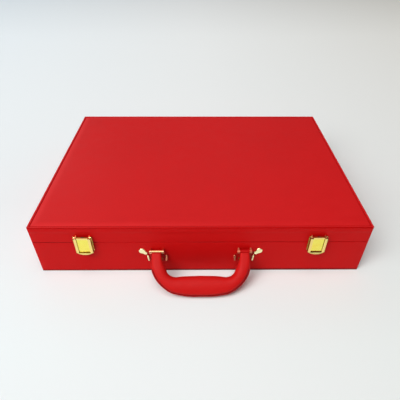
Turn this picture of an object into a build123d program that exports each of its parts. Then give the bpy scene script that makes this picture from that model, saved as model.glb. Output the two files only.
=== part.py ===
from build123d import *
import math
import os

os.makedirs("parts", exist_ok=True)

# Carrying case for a mahjong set, closed. Millimetres.
# X runs along the long side, -Y is the front with the handle, +Z is up,
# the underside lies on Z = 0.

# ---------------------------------------------------------------- case
W = 449.0  # length over the lid rim
D = 320.0  # depth over the lid rim
H = 82.7  # height closed
RIM = 0.2  # the lid's rim stands this far out past the sides
SKIN = 1.0  # leather
WALL = 6.0  # wall boards
BOTTOM = 4.0  # bottom board
TOP = 4.0  # top board
CORNER = 1.2  # upright corners, over the leather
SEAM = 56.2  # top edge of the base
GAP = 0.4  # slit between base and lid when closed
TURN_IN = 9.4  # leather folded in over the edges of the walls
LINING = 1.5  # velvet-covered card on the walls
FLOOR = 3.0  # velvet-covered pad on the floor
RIM_H = 2.5  # height of the top leather's rim

SX, SY = W / 2 - RIM, D / 2 - RIM  # leather, outside
BX, BY = SX - SKIN, SY - SKIN  # boards, outside
IX, IY = BX - WALL, BY - WALL  # boards, inside
LX, LY = IX - SKIN, IY - SKIN  # folded-in leather, inside
NX, NY = LX - LINING, LY - LINING  # lining, inside

BASE_FLOOR = SKIN + BOTTOM  # top of the bottom board
BASE_WALL = SEAM - SKIN  # top of the base's wall boards
LID_EDGE = SEAM + GAP  # bottom edge of the lid
LID_WALL = LID_EDGE + SKIN  # bottom of the lid's wall boards
LID_ROOF = H - SKIN - TOP  # underside of the top board
PAD_UNDER = 66.5  # underside of the padded panel in the lid

# ---------------------------------------------------------------- partitions
DIV = 4.0  # thickness of a partition
DIV_TOP = 51.0
BAY_X, BAY_Y = 181.5, 121.5  # one tile bay, 6 x 3 tiles of 30 x 40
COL_X = -NX + 2 * BAY_X + DIV  # left face of the column partition
ROW_Y = -NY + BAY_Y  # front face of the middle partition
TROUGH_Y = ROW_Y + DIV + BAY_Y  # front face of the trough partition
MID_X = -NX + BAY_X  # left face of the partitions between the bays

# ---------------------------------------------------------------- hinges
HINGE_X = 140.0
HINGE_L = 38.0
LEAF = 1.2
KNUCKLE = 2.1
HPIN_R = 1.25
HINGE_OUT = 2.5  # pin axis behind the back face
HY, HZ = SY + HINGE_OUT, SEAM + GAP / 2
MID_KNUCKLE = 6.18  # half length of the lid's knuckle
KNUCKLE_GAP = 0.3
FIT = 0.05  # radial running clearance of every moving pin

# ---------------------------------------------------------------- latches
LATCH_X = 155.0
LPIN_S, LPIN_Z, LPIN_R = 2.4, 67.2, 0.75
FLAP_HW = 11.35
LIP_R = 21.5  # arch of the finger lip
LIP_Z = 39.9

# ---------------------------------------------------------------- handle
BRACKET_X = 59.2
HANDLE_S, HANDLE_Z = 4.5, 43.0  # handle pin, out from the front face and up
HANDLE_PIN_R = 1.5
BRACKET_T = 1.8
REST = 43.1  # degrees the folded handle hangs below the horizontal
COVER = 1.2  # leather on the handle

# ---------------------------------------------------------------- screws
SHANK_R = 1.2
HINGE_SHANK_R = 1.3
HEAD_R = 2.2
HINGE_HEAD_R = 2.4
HINGE_SCREWS = [(-12.0, 46.0), (12.0, 46.0)]
HINGE_SCREWS_LID = [(-12.0, 67.0), (12.0, 67.0)]
PLATE_SCREWS = [(-4.5, 61.5), (4.5, 61.5)]
CATCH_SCREWS = [(-6.0, 46.8), (6.0, 46.8)]
LEAF_AT = (20.3, 40.6)  # middle of the bracket's leaf-shaped end
BRACKET_SCREWS = [(-5.2, 26.5), (5.2, 26.5)]


def front(x, s=0.0):
    """Sketch plane on the front face: local x along X, local y up, facing out."""
    return Plane(origin=(x, -SY - s, 0), x_dir=(1, 0, 0), z_dir=(0, -1, 0))


def profile(x):
    """Side profile of front fittings: local x out from the front face, local y up, extrudes to -X."""
    return Plane(origin=(x, -SY, 0), x_dir=(0, -1, 0), z_dir=(-1, 0, 0))


def hinge_profile(x):
    """Side profile about the hinge pin: local x to the back, local y up, extrudes to +X."""
    return Plane(origin=(x, HY, HZ), x_dir=(0, 1, 0), z_dir=(1, 0, 0))


BASE_FRONT_HOLES = [(s * BRACKET_X + x, z) for s in (-1, 1) for x, z in BRACKET_SCREWS]
CATCH_HOLES = [(s * LATCH_X + x, z) for s in (-1, 1) for x, z in CATCH_SCREWS]
PLATE_HOLES = [(s * LATCH_X + x, z) for s in (-1, 1) for x, z in PLATE_SCREWS]
HINGE_BASE_HOLES = [(s * HINGE_X + x, z) for s in (-1, 1) for x, z in HINGE_SCREWS]
HINGE_LID_HOLES = [(s * HINGE_X + x, z) for s in (-1, 1) for x, z in HINGE_SCREWS_LID]


def across(points, y):
    """Places on an upright plane at depth y, for cylinders that lie along Y."""
    return [Location((x, y, z)) for x, z in points]


# ================================================================ base boards
with BuildPart() as base_bottom_leather:
    with BuildSketch(Plane.XY):
        RectangleRounded(2 * BX, 2 * BY, CORNER - SKIN)
    extrude(amount=SKIN)
base_bottom_leather.part.label = "base_bottom_leather"
export_step(base_bottom_leather.part, "parts/base_bottom_leather.step")

with BuildPart() as base_bottom_board:
    with BuildSketch(Plane.XY.offset(SKIN)):
        RectangleRounded(2 * BX, 2 * BY, CORNER - SKIN)
    extrude(amount=BOTTOM)
base_bottom_board.part.label = "base_bottom_board"
export_step(base_bottom_board.part, "parts/base_bottom_board.step")

with BuildPart() as base_front_board:
    with BuildSketch(Plane.XY.offset(BASE_FLOOR)):
        with Locations((0, -(BY + IY) / 2)):
            Rectangle(2 * BX, WALL)
    extrude(amount=BASE_WALL - BASE_FLOOR)
    fillet(
        base_front_board.edges().filter_by(Axis.Z).group_by(Axis.Y)[0],
        radius=CORNER - SKIN,
    )
    with Locations(*across(BASE_FRONT_HOLES, -(BY - 2.8))):
        Cylinder(SHANK_R + FIT, 5.6, rotation=(90, 0, 0), mode=Mode.SUBTRACT)
    with Locations(*across(CATCH_HOLES, -(BY - 2.4))):
        Cylinder(1.0 + FIT, 4.8, rotation=(90, 0, 0), mode=Mode.SUBTRACT)
base_front_board.part.label = "base_front_board"
export_step(base_front_board.part, "parts/base_front_board.step")

with BuildPart() as base_back_board:
    with BuildSketch(Plane.XY.offset(BASE_FLOOR)):
        with Locations((0, (BY + IY) / 2)):
            Rectangle(2 * BX, WALL)
    extrude(amount=BASE_WALL - BASE_FLOOR)
    fillet(
        base_back_board.edges().filter_by(Axis.Z).group_by(Axis.Y)[-1],
        radius=CORNER - SKIN,
    )
    with Locations(*across(HINGE_BASE_HOLES, BY - 2.7)):
        Cylinder(HINGE_SHANK_R + FIT, 5.4, rotation=(90, 0, 0), mode=Mode.SUBTRACT)
base_back_board.part.label = "base_back_board"
export_step(base_back_board.part, "parts/base_back_board.step")

with BuildPart() as base_side_boards:
    with BuildSketch(Plane.XY.offset(BASE_FLOOR)):
        with Locations(((BX + IX) / 2, 0), (-(BX + IX) / 2, 0)):
            Rectangle(WALL, 2 * IY)
    extrude(amount=BASE_WALL - BASE_FLOOR)
base_side_boards.part.label = "base_side_boards"
export_step(base_side_boards.part, "parts/base_side_boards.step")

# ================================================================ base leather and velvet
with BuildPart() as base_side_leather:
    with BuildSketch(Plane.XY):
        RectangleRounded(2 * SX, 2 * SY, CORNER)
        RectangleRounded(2 * BX, 2 * BY, CORNER - SKIN, mode=Mode.SUBTRACT)
    extrude(amount=SEAM)
    with BuildSketch(Plane.XY.offset(BASE_WALL)):
        RectangleRounded(2 * BX, 2 * BY, CORNER - SKIN)
        Rectangle(2 * LX, 2 * LY, mode=Mode.SUBTRACT)
    extrude(amount=SKIN)
    with BuildSketch(Plane.XY.offset(SEAM - TURN_IN)):
        Rectangle(2 * IX, 2 * IY)
        Rectangle(2 * LX, 2 * LY, mode=Mode.SUBTRACT)
    extrude(amount=TURN_IN - SKIN)
    rim = base_side_leather.edges().group_by(Axis.Z)[-1]
    fillet(rim.filter_by(lambda e: abs(e.center().X) > BX + 0.05 or abs(e.center().Y) > BY + 0.05), radius=0.8)
    foot = base_side_leather.edges().group_by(Axis.Z)[0]
    fillet(foot.filter_by(lambda e: abs(e.center().X) > BX + 0.05 or abs(e.center().Y) > BY + 0.05), radius=0.7)
    with Locations(*across(BASE_FRONT_HOLES, -(SY - SKIN / 2))):
        Cylinder(SHANK_R + FIT, 2 * SKIN, rotation=(90, 0, 0), mode=Mode.SUBTRACT)
    with Locations(*across(CATCH_HOLES, -(SY - SKIN / 2))):
        Cylinder(1.0 + FIT, 2 * SKIN, rotation=(90, 0, 0), mode=Mode.SUBTRACT)
    with Locations(*across(HINGE_BASE_HOLES, SY - SKIN / 2)):
        Cylinder(HINGE_SHANK_R + FIT, 2 * SKIN, rotation=(90, 0, 0), mode=Mode.SUBTRACT)
base_side_leather.part.label = "base_side_leather"
export_step(base_side_leather.part, "parts/base_side_leather.step")

with BuildPart() as base_wall_lining:
    with BuildSketch(Plane.XY.offset(BASE_FLOOR)):
        Rectangle(2 * IX, 2 * IY)
        Rectangle(2 * NX, 2 * NY, mode=Mode.SUBTRACT)
    extrude(amount=SEAM - TURN_IN - BASE_FLOOR)
    with BuildSketch(Plane.XY.offset(SEAM - TURN_IN)):
        Rectangle(2 * LX, 2 * LY)
        Rectangle(2 * NX, 2 * NY, mode=Mode.SUBTRACT)
    extrude(amount=TURN_IN - 2.7)
    fillet(
        base_wall_lining.edges()
        .group_by(Axis.Z)[-1]
        .filter_by(lambda e: abs(e.center().X) < NX + 0.1 and abs(e.center().Y) < NY + 0.1),
        radius=1.0,
    )
base_wall_lining.part.label = "base_wall_lining"
export_step(base_wall_lining.part, "parts/base_wall_lining.step")

with BuildPart() as base_floor_pad:
    with BuildSketch(Plane.XY.offset(BASE_FLOOR)):
        Rectangle(2 * NX, 2 * NY)
    extrude(amount=FLOOR)
base_floor_pad.part.label = "base_floor_pad"
export_step(base_floor_pad.part, "parts/base_floor_pad.step")

PAD_TOP = BASE_FLOOR + FLOOR
DIV_H = DIV_TOP - PAD_TOP

# ================================================================ partitions
with BuildPart() as divider_column:
    with BuildSketch(Plane.XY.offset(PAD_TOP)):
        with Locations((COL_X + DIV / 2, 0)):
            Rectangle(DIV, 2 * NY)
    extrude(amount=DIV_H)
    fillet(divider_column.edges().filter_by(Axis.Y).group_by(Axis.Z)[-1], radius=1.5)
divider_column.part.label = "divider_column"
export_step(divider_column.part, "parts/divider_column.step")

with BuildPart() as divider_trough:
    with BuildSketch(Plane.XY.offset(PAD_TOP)):
        with Locations(((COL_X - NX) / 2, TROUGH_Y + DIV / 2)):
            Rectangle(COL_X + NX, DIV)
    extrude(amount=DIV_H)
    fillet(divider_trough.edges().filter_by(Axis.X).group_by(Axis.Z)[-1], radius=1.5)
divider_trough.part.label = "divider_trough"
export_step(divider_trough.part, "parts/divider_trough.step")

with BuildPart() as divider_rows:
    with BuildSketch(Plane.XY.offset(PAD_TOP)):
        with Locations(((COL_X - NX) / 2, ROW_Y + DIV / 2)):
            Rectangle(COL_X + NX, DIV)
    extrude(amount=DIV_H)
    fillet(divider_rows.edges().filter_by(Axis.X).group_by(Axis.Z)[-1], radius=1.5)
divider_rows.part.label = "divider_rows"
export_step(divider_rows.part, "parts/divider_rows.step")

with BuildPart() as divider_bays:
    with BuildSketch(Plane.XY.offset(PAD_TOP)):
        with Locations((MID_X + DIV / 2, -NY + BAY_Y / 2), (MID_X + DIV / 2, ROW_Y + DIV + BAY_Y / 2)):
            Rectangle(DIV, BAY_Y)
    extrude(amount=DIV_H)
    fillet(divider_bays.edges().filter_by(Axis.Y).group_by(Axis.Z)[-1], radius=1.5)
divider_bays.part.label = "divider_bays"
export_step(divider_bays.part, "parts/divider_bays.step")

COL_IN = COL_X + DIV  # left side of the accessory column
ACC_Y = 50.0
with BuildPart() as divider_accessories:
    with BuildSketch(Plane.XY.offset(PAD_TOP)):
        with Locations(((COL_IN + NX) / 2, -ACC_Y), ((COL_IN + NX) / 2, ACC_Y)):
            Rectangle(NX - COL_IN, DIV)
    extrude(amount=DIV_H)
    fillet(divider_accessories.edges().filter_by(Axis.X).group_by(Axis.Z)[-1], radius=1.5)
divider_accessories.part.label = "divider_accessories"
export_step(divider_accessories.part, "parts/divider_accessories.step")

# ================================================================ lid boards
LID_WALL_H = LID_ROOF - LID_WALL
with BuildPart() as lid_top_board:
    with BuildSketch(Plane.XY.offset(LID_ROOF)):
        RectangleRounded(2 * BX, 2 * BY, CORNER - SKIN)
    extrude(amount=TOP)
lid_top_board.part.label = "lid_top_board"
export_step(lid_top_board.part, "parts/lid_top_board.step")

with BuildPart() as lid_front_board:
    with BuildSketch(Plane.XY.offset(LID_WALL)):
        with Locations((0, -(BY + IY) / 2)):
            Rectangle(2 * BX, WALL)
    extrude(amount=LID_WALL_H)
    fillet(
        lid_front_board.edges().filter_by(Axis.Z).group_by(Axis.Y)[0],
        radius=CORNER - SKIN,
    )
    with Locations(*across(PLATE_HOLES, -(BY - 2.4))):
        Cylinder(1.0 + FIT, 4.8, rotation=(90, 0, 0), mode=Mode.SUBTRACT)
lid_front_board.part.label = "lid_front_board"
export_step(lid_front_board.part, "parts/lid_front_board.step")

with BuildPart() as lid_back_board:
    with BuildSketch(Plane.XY.offset(LID_WALL)):
        with Locations((0, (BY + IY) / 2)):
            Rectangle(2 * BX, WALL)
    extrude(amount=LID_WALL_H)
    fillet(
        lid_back_board.edges().filter_by(Axis.Z).group_by(Axis.Y)[-1],
        radius=CORNER - SKIN,
    )
    with Locations(*across(HINGE_LID_HOLES, BY - 2.7)):
        Cylinder(HINGE_SHANK_R + FIT, 5.4, rotation=(90, 0, 0), mode=Mode.SUBTRACT)
lid_back_board.part.label = "lid_back_board"
export_step(lid_back_board.part, "parts/lid_back_board.step")

with BuildPart() as lid_side_boards:
    with BuildSketch(Plane.XY.offset(LID_WALL)):
        with Locations(((BX + IX) / 2, 0), (-(BX + IX) / 2, 0)):
            Rectangle(WALL, 2 * IY)
    extrude(amount=LID_WALL_H)
lid_side_boards.part.label = "lid_side_boards"
export_step(lid_side_boards.part, "parts/lid_side_boards.step")

# ================================================================ lid leather and velvet
with BuildPart() as lid_top_leather:
    with BuildSketch(Plane.XY.offset(H - RIM_H)):
        RectangleRounded(W, D, CORNER + RIM)
    extrude(amount=RIM_H)
    with BuildSketch(Plane.XY.offset(H - RIM_H)):
        RectangleRounded(2 * BX, 2 * BY, CORNER - SKIN)
    extrude(amount=RIM_H - SKIN, mode=Mode.SUBTRACT)
    fillet(lid_top_leather.edges().group_by(Axis.Z)[-1], radius=0.8)
    fillet(
        lid_top_leather.edges()
        .group_by(Axis.Z)[0]
        .filter_by(lambda e: abs(e.center().X) > SX - 0.5 or abs(e.center().Y) > SY - 0.5),
        radius=0.15,
    )
lid_top_leather.part.label = "lid_top_leather"
export_step(lid_top_leather.part, "parts/lid_top_leather.step")

with BuildPart() as lid_side_leather:
    with BuildSketch(Plane.XY.offset(LID_EDGE)):
        RectangleRounded(2 * SX, 2 * SY, CORNER)
        RectangleRounded(2 * BX, 2 * BY, CORNER - SKIN, mode=Mode.SUBTRACT)
    extrude(amount=H - RIM_H - LID_EDGE)
    with BuildSketch(Plane.XY.offset(LID_EDGE)):
        RectangleRounded(2 * BX, 2 * BY, CORNER - SKIN)
        Rectangle(2 * LX, 2 * LY, mode=Mode.SUBTRACT)
    extrude(amount=SKIN)
    with BuildSketch(Plane.XY.offset(LID_WALL)):
        Rectangle(2 * IX, 2 * IY)
        Rectangle(2 * LX, 2 * LY, mode=Mode.SUBTRACT)
    extrude(amount=TURN_IN - SKIN)
    rim = lid_side_leather.edges().group_by(Axis.Z)[0]
    fillet(rim.filter_by(lambda e: abs(e.center().X) > BX + 0.05 or abs(e.center().Y) > BY + 0.05), radius=0.8)
    with Locations(*across(PLATE_HOLES, -(SY - SKIN / 2))):
        Cylinder(1.0 + FIT, 2 * SKIN, rotation=(90, 0, 0), mode=Mode.SUBTRACT)
    with Locations(*across(HINGE_LID_HOLES, SY - SKIN / 2)):
        Cylinder(HINGE_SHANK_R + FIT, 2 * SKIN, rotation=(90, 0, 0), mode=Mode.SUBTRACT)
lid_side_leather.part.label = "lid_side_leather"
export_step(lid_side_leather.part, "parts/lid_side_leather.step")

with BuildPart() as lid_wall_lining:
    with BuildSketch(Plane.XY.offset(LID_EDGE + TURN_IN)):
        Rectangle(2 * IX, 2 * IY)
        Rectangle(2 * NX, 2 * NY, mode=Mode.SUBTRACT)
    extrude(amount=LID_ROOF - LID_EDGE - TURN_IN)
    with BuildSketch(Plane.XY.offset(LID_EDGE + 2.7)):
        Rectangle(2 * LX, 2 * LY)
        Rectangle(2 * NX, 2 * NY, mode=Mode.SUBTRACT)
    extrude(amount=TURN_IN - 2.7)
    fillet(
        lid_wall_lining.edges()
        .group_by(Axis.Z)[0]
        .filter_by(lambda e: abs(e.center().X) < NX + 0.1 and abs(e.center().Y) < NY + 0.1),
        radius=1.0,
    )
lid_wall_lining.part.label = "lid_wall_lining"
export_step(lid_wall_lining.part, "parts/lid_wall_lining.step")

with BuildPart() as lid_pad:
    with BuildSketch(Plane.XY.offset(PAD_UNDER)):
        RectangleRounded(2 * NX - 0.6, 2 * NY - 0.6, 3.0)
    extrude(amount=LID_ROOF - PAD_UNDER)
    fillet(lid_pad.edges().group_by(Axis.Z)[0], radius=5.0)
lid_pad.part.label = "lid_pad"
export_step(lid_pad.part, "parts/lid_pad.step")

# ================================================================ hinges
for side, sgn in (("left", -1), ("right", 1)):
    xc = sgn * HINGE_X
    inner = MID_KNUCKLE + KNUCKLE_GAP
    with BuildPart() as hinge_base_leaf:
        # plate on the leather, cut back under the lid's knuckle
        with BuildSketch(Plane(origin=(xc, SY, 0), x_dir=(-1, 0, 0), z_dir=(0, 1, 0))):
            with Locations((0, (39.0 + 56.0) / 2)):
                Rectangle(HINGE_L, 56.0 - 39.0)
            fillet(vertices().group_by(Axis.Y)[0], radius=3.0)
            with Locations((0, HZ)):
                Rectangle(2 * inner, 2 * 3.0, mode=Mode.SUBTRACT)
        extrude(amount=LEAF)
        # the two outer knuckles with the stop lip the lid leans on when open
        for x0 in (-HINGE_L / 2, inner):
            with BuildSketch(hinge_profile(xc + x0)):
                Circle(KNUCKLE)
                Polygon((0, 0.9), (2, 0.82), (6, 0.47), (6, -0.8), (0, -0.9), align=None)
            extrude(amount=HINGE_L / 2 - inner)
        with Locations((xc, HY, HZ)):
            Cylinder(HPIN_R, HINGE_L + 2, rotation=(0, 90, 0), mode=Mode.SUBTRACT)
        with Locations(*across([(xc + x, z) for x, z in HINGE_SCREWS], SY + LEAF / 2)):
            Cylinder(HINGE_SHANK_R + FIT, 2 * LEAF, rotation=(90, 0, 0), mode=Mode.SUBTRACT)
    hinge_base_leaf.part.label = f"hinge_base_leaf_{side}"
    export_step(hinge_base_leaf.part, f"parts/hinge_base_leaf_{side}.step")

    with BuildPart() as hinge_lid_leaf:
        with BuildSketch(Plane(origin=(xc, SY, 0), x_dir=(-1, 0, 0), z_dir=(0, 1, 0))):
            with Locations((0, (HZ + 3.0 + 74.0) / 2)):
                Rectangle(HINGE_L, 74.0 - HZ - 3.0)
            fillet(vertices().group_by(Axis.Y)[-1], radius=3.0)
            with Locations((0, (HZ + 0.4 + 62.0) / 2)):
                Rectangle(2 * MID_KNUCKLE, 62.0 - HZ - 0.4)
        extrude(amount=LEAF)
        with BuildSketch(hinge_profile(xc - MID_KNUCKLE)):
            Circle(KNUCKLE)
        extrude(amount=2 * MID_KNUCKLE)
        with Locations((xc, HY, HZ)):
            Cylinder(HPIN_R + FIT, HINGE_L, rotation=(0, 90, 0), mode=Mode.SUBTRACT)
        with Locations(*across([(xc + x, z) for x, z in HINGE_SCREWS_LID], SY + LEAF / 2)):
            Cylinder(HINGE_SHANK_R + FIT, 2 * LEAF, rotation=(90, 0, 0), mode=Mode.SUBTRACT)
    hinge_lid_leaf.part.label = f"hinge_lid_leaf_{side}"
    export_step(hinge_lid_leaf.part, f"parts/hinge_lid_leaf_{side}.step")

    with BuildPart() as hinge_pin:
        with Locations((xc, HY, HZ)):
            Cylinder(HPIN_R, HINGE_L, rotation=(0, 90, 0))
        # peened ends
        with Locations((xc - HINGE_L / 2 - 0.3, HY, HZ), (xc + HINGE_L / 2 + 0.3, HY, HZ)):
            Cylinder(1.7, 0.6, rotation=(0, 90, 0))
        fillet(hinge_pin.edges().group_by(Axis.X)[0], radius=0.4)
        fillet(hinge_pin.edges().group_by(Axis.X)[-1], radius=0.4)
    hinge_pin.part.label = f"hinge_pin_{side}"
    export_step(hinge_pin.part, f"parts/hinge_pin_{side}.step")

with BuildPart() as hinge_base_screws:
    with Locations(*across(HINGE_BASE_HOLES, SY + LEAF + 0.5)):
        Cylinder(HINGE_HEAD_R, 1.0, rotation=(90, 0, 0))
    fillet(hinge_base_screws.edges().group_by(Axis.Y)[-1], radius=0.7)
    with Locations(*across(HINGE_BASE_HOLES, SY + LEAF - 3.8)):
        Cylinder(HINGE_SHANK_R, 7.6, rotation=(90, 0, 0))
    with Locations(*across(HINGE_BASE_HOLES, SY + LEAF + 0.8)):
        Box(2.6, 0.8, 0.55, mode=Mode.SUBTRACT)
        Box(0.55, 0.8, 2.6, mode=Mode.SUBTRACT)
hinge_base_screws.part.label = "hinge_base_screws"
export_step(hinge_base_screws.part, "parts/hinge_base_screws.step")

with BuildPart() as hinge_lid_screws:
    with Locations(*across(HINGE_LID_HOLES, SY + LEAF + 0.5)):
        Cylinder(HINGE_HEAD_R, 1.0, rotation=(90, 0, 0))
    fillet(hinge_lid_screws.edges().group_by(Axis.Y)[-1], radius=0.7)
    with Locations(*across(HINGE_LID_HOLES, SY + LEAF - 3.8)):
        Cylinder(HINGE_SHANK_R, 7.6, rotation=(90, 0, 0))
    with Locations(*across(HINGE_LID_HOLES, SY + LEAF + 0.8)):
        Box(2.6, 0.8, 0.55, mode=Mode.SUBTRACT)
        Box(0.55, 0.8, 2.6, mode=Mode.SUBTRACT)
hinge_lid_screws.part.label = "hinge_lid_screws"
export_step(hinge_lid_screws.part, "parts/hinge_lid_screws.step")

# ================================================================ latches
for side, sgn in (("left", -1), ("right", 1)):
    xc = sgn * LATCH_X
    pin_at = (xc, -SY - LPIN_S, LPIN_Z)

    # plate on the lid with two ears that carry the pin
    with BuildPart() as latch_plate:
        with BuildSketch(front(xc)):
            with Locations((0, (57.8 + 69.3) / 2)):
                RectangleRounded(19.6, 69.3 - 57.8, 1.0)
            # notched between the ears
            with Locations((0, 68.0)):
                Rectangle(16.2, 4.4, mode=Mode.SUBTRACT)
        extrude(amount=1.0)
        for x0 in (9.8, -8.6):
            with BuildSketch(profile(xc + x0)):
                with Locations((LPIN_S / 2, LPIN_Z)):
                    Rectangle(LPIN_S, 2.5)
                with Locations((LPIN_S, LPIN_Z)):
                    Circle(1.25)
            extrude(amount=1.2)
        with Locations(pin_at):
            Cylinder(LPIN_R, 30, rotation=(0, 90, 0), mode=Mode.SUBTRACT)
        with Locations(*across([(xc + x, z) for x, z in PLATE_SCREWS], -SY - 0.5)):
            Cylinder(1.0 + FIT, 2, rotation=(90, 0, 0), mode=Mode.SUBTRACT)
    latch_plate.part.label = f"latch_plate_{side}"
    export_step(latch_plate.part, f"parts/latch_plate_{side}.step")

    with BuildPart() as latch_pin:
        with Locations(pin_at):
            Cylinder(LPIN_R, 2 * FLAP_HW - 0.2, rotation=(0, 90, 0))
    latch_pin.part.label = f"latch_pin_{side}"
    export_step(latch_pin.part, f"parts/latch_pin_{side}.step")

    # torsion spring: one leg on the plate, the other on the flap
    with BuildPart() as latch_spring:
        coil_r, wire, pitch, turns = 1.0, 0.2, 0.62, 5.5
        length = pitch * turns
        with BuildLine():
            coil = Helix(
                pitch=pitch,
                height=length,
                radius=coil_r,
                center=(xc - length / 2, -SY - LPIN_S, LPIN_Z),
                direction=(1, 0, 0),
                mode=Mode.PRIVATE,
            )
            coil = coil.rotate(Axis(pin_at, (1, 0, 0)), -90)
            add(coil)
        with BuildSketch(Plane(origin=coil @ 0, z_dir=coil % 0)):
            Circle(wire)
        sweep(is_frenet=True)
        for end, out in ((coil @ 0, 6.0), (coil @ 1, 7.0)):
            with Locations((end.X, end.Y, LPIN_Z - out / 2)):
                Cylinder(wire, out)
    latch_spring.part.label = f"latch_spring_{side}"
    export_step(latch_spring.part, f"parts/latch_spring_{side}.step")

    # flap: cast plate with a raised band round a sunk panel, flanges back to the
    # pin and a flared finger lip with an arched end
    with BuildPart() as latch_flap:
        with BuildSketch(profile(xc + FLAP_HW)):
            Polygon(
                (3.9, 68.3),
                (3.9, 43.2),
                (5.6, LIP_Z - 0.6),
                (7.0, LIP_Z - 0.4),
                (7.2, LIP_Z + 0.1),
                (6.0, 43.1),
                (6.0, 67.3),
                (5.2, 68.3),
                align=None,
            )
        extrude(amount=2 * FLAP_HW)
        # soften the long outer edges of the band
        fillet(
            latch_flap.edges()
            .filter_by(Axis.Z)
            .filter_by(lambda e: abs(e.center().Y + SY + 6.0) < 0.01),
            radius=0.7,
        )
        with BuildSketch(front(xc, 4.7)):
            with Locations((0, (42.5 + 70.0) / 2)):
                Rectangle(2 * 7.6, 70.0 - 42.5)
        extrude(amount=3.0, mode=Mode.SUBTRACT)
        with BuildSketch(front(xc, 3.0)):
            with Locations((0, 42.85)):
                Rectangle(13.0, 0.9)
        extrude(amount=3.5, mode=Mode.SUBTRACT)
        for x0 in (FLAP_HW, -FLAP_HW + 1.0):
            with BuildSketch(profile(xc + x0)):
                with Locations(((0.6 + 4.7) / 2, (42.0 + LPIN_Z) / 2)):
                    Rectangle(4.1, LPIN_Z - 42.0)
                with Locations((LPIN_S, LPIN_Z)):
                    Circle(2.1)
            extrude(amount=1.0)
        # the flanges' back edges are turned outwards
        for x0 in (FLAP_HW + 0.7, -FLAP_HW + 0.3):
            with BuildSketch(profile(xc + x0)):
                with Locations((1.0, (42.0 + LPIN_Z) / 2)):
                    Rectangle(0.8, LPIN_Z - 42.0)
            extrude(amount=1.0)
        with BuildSketch(front(xc, -1.0)):
            with Locations((0, 40.1)):
                Rectangle(30, 8.2)
            with Locations((0, LIP_Z + LIP_R)):
                Circle(LIP_R, mode=Mode.SUBTRACT)
        extrude(amount=12.0, mode=Mode.SUBTRACT)
        with Locations(pin_at):
            Cylinder(LPIN_R + FIT, 40, rotation=(0, 90, 0), mode=Mode.SUBTRACT)
    latch_flap.part.label = f"latch_flap_{side}"
    export_step(latch_flap.part, f"parts/latch_flap_{side}.step")

    # leaf-spring clip inside the flap, hooks under the catch's tongue
    with BuildPart() as latch_clip:
        with BuildSketch(profile(xc + 4.0)):
            Polygon(
                (3.9, 60.0),
                (3.4, 60.0),
                (3.4, 50.6),
                (2.0, 49.05),
                (3.2, 46.5),
                (3.65, 46.75),
                (2.65, 49.0),
                (3.9, 50.4),
                align=None,
            )
        extrude(amount=8.0)
    latch_clip.part.label = f"latch_clip_{side}"
    export_step(latch_clip.part, f"parts/latch_clip_{side}.step")

    with BuildPart() as catch_plate:
        with BuildSketch(front(xc)):
            with Locations((0, (44.0 + 51.4) / 2)):
                RectangleRounded(17.0, 51.4 - 44.0, 0.8)
        extrude(amount=1.0)
        with BuildSketch(front(xc, 1.0)):
            with Locations((0, 50.9)):
                Rectangle(12.0, 1.0)
        extrude(amount=2.0)
        with Locations(*across([(xc + x, z) for x, z in CATCH_SCREWS], -SY - 0.5)):
            Cylinder(1.0 + FIT, 2, rotation=(90, 0, 0), mode=Mode.SUBTRACT)
    catch_plate.part.label = f"catch_plate_{side}"
    export_step(catch_plate.part, f"parts/catch_plate_{side}.step")

with BuildPart() as latch_plate_screws:
    with Locations(*across(PLATE_HOLES, -SY - 1.45)):
        Cylinder(1.9, 0.9, rotation=(90, 0, 0))
    fillet(latch_plate_screws.edges().group_by(Axis.Y)[0], radius=0.5)
    with Locations(*across(PLATE_HOLES, -SY - 1.0 + 3.2)):
        Cylinder(1.0, 6.4, rotation=(90, 0, 0))
latch_plate_screws.part.label = "latch_plate_screws"
export_step(latch_plate_screws.part, "parts/latch_plate_screws.step")

with BuildPart() as catch_plate_screws:
    with Locations(*across(CATCH_HOLES, -SY - 1.45)):
        Cylinder(1.9, 0.9, rotation=(90, 0, 0))
    fillet(catch_plate_screws.edges().group_by(Axis.Y)[0], radius=0.5)
    with Locations(*across(CATCH_HOLES, -SY - 1.0 + 3.2)):
        Cylinder(1.0, 6.4, rotation=(90, 0, 0))
catch_plate_screws.part.label = "catch_plate_screws"
export_step(catch_plate_screws.part, "parts/catch_plate_screws.step")

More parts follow.
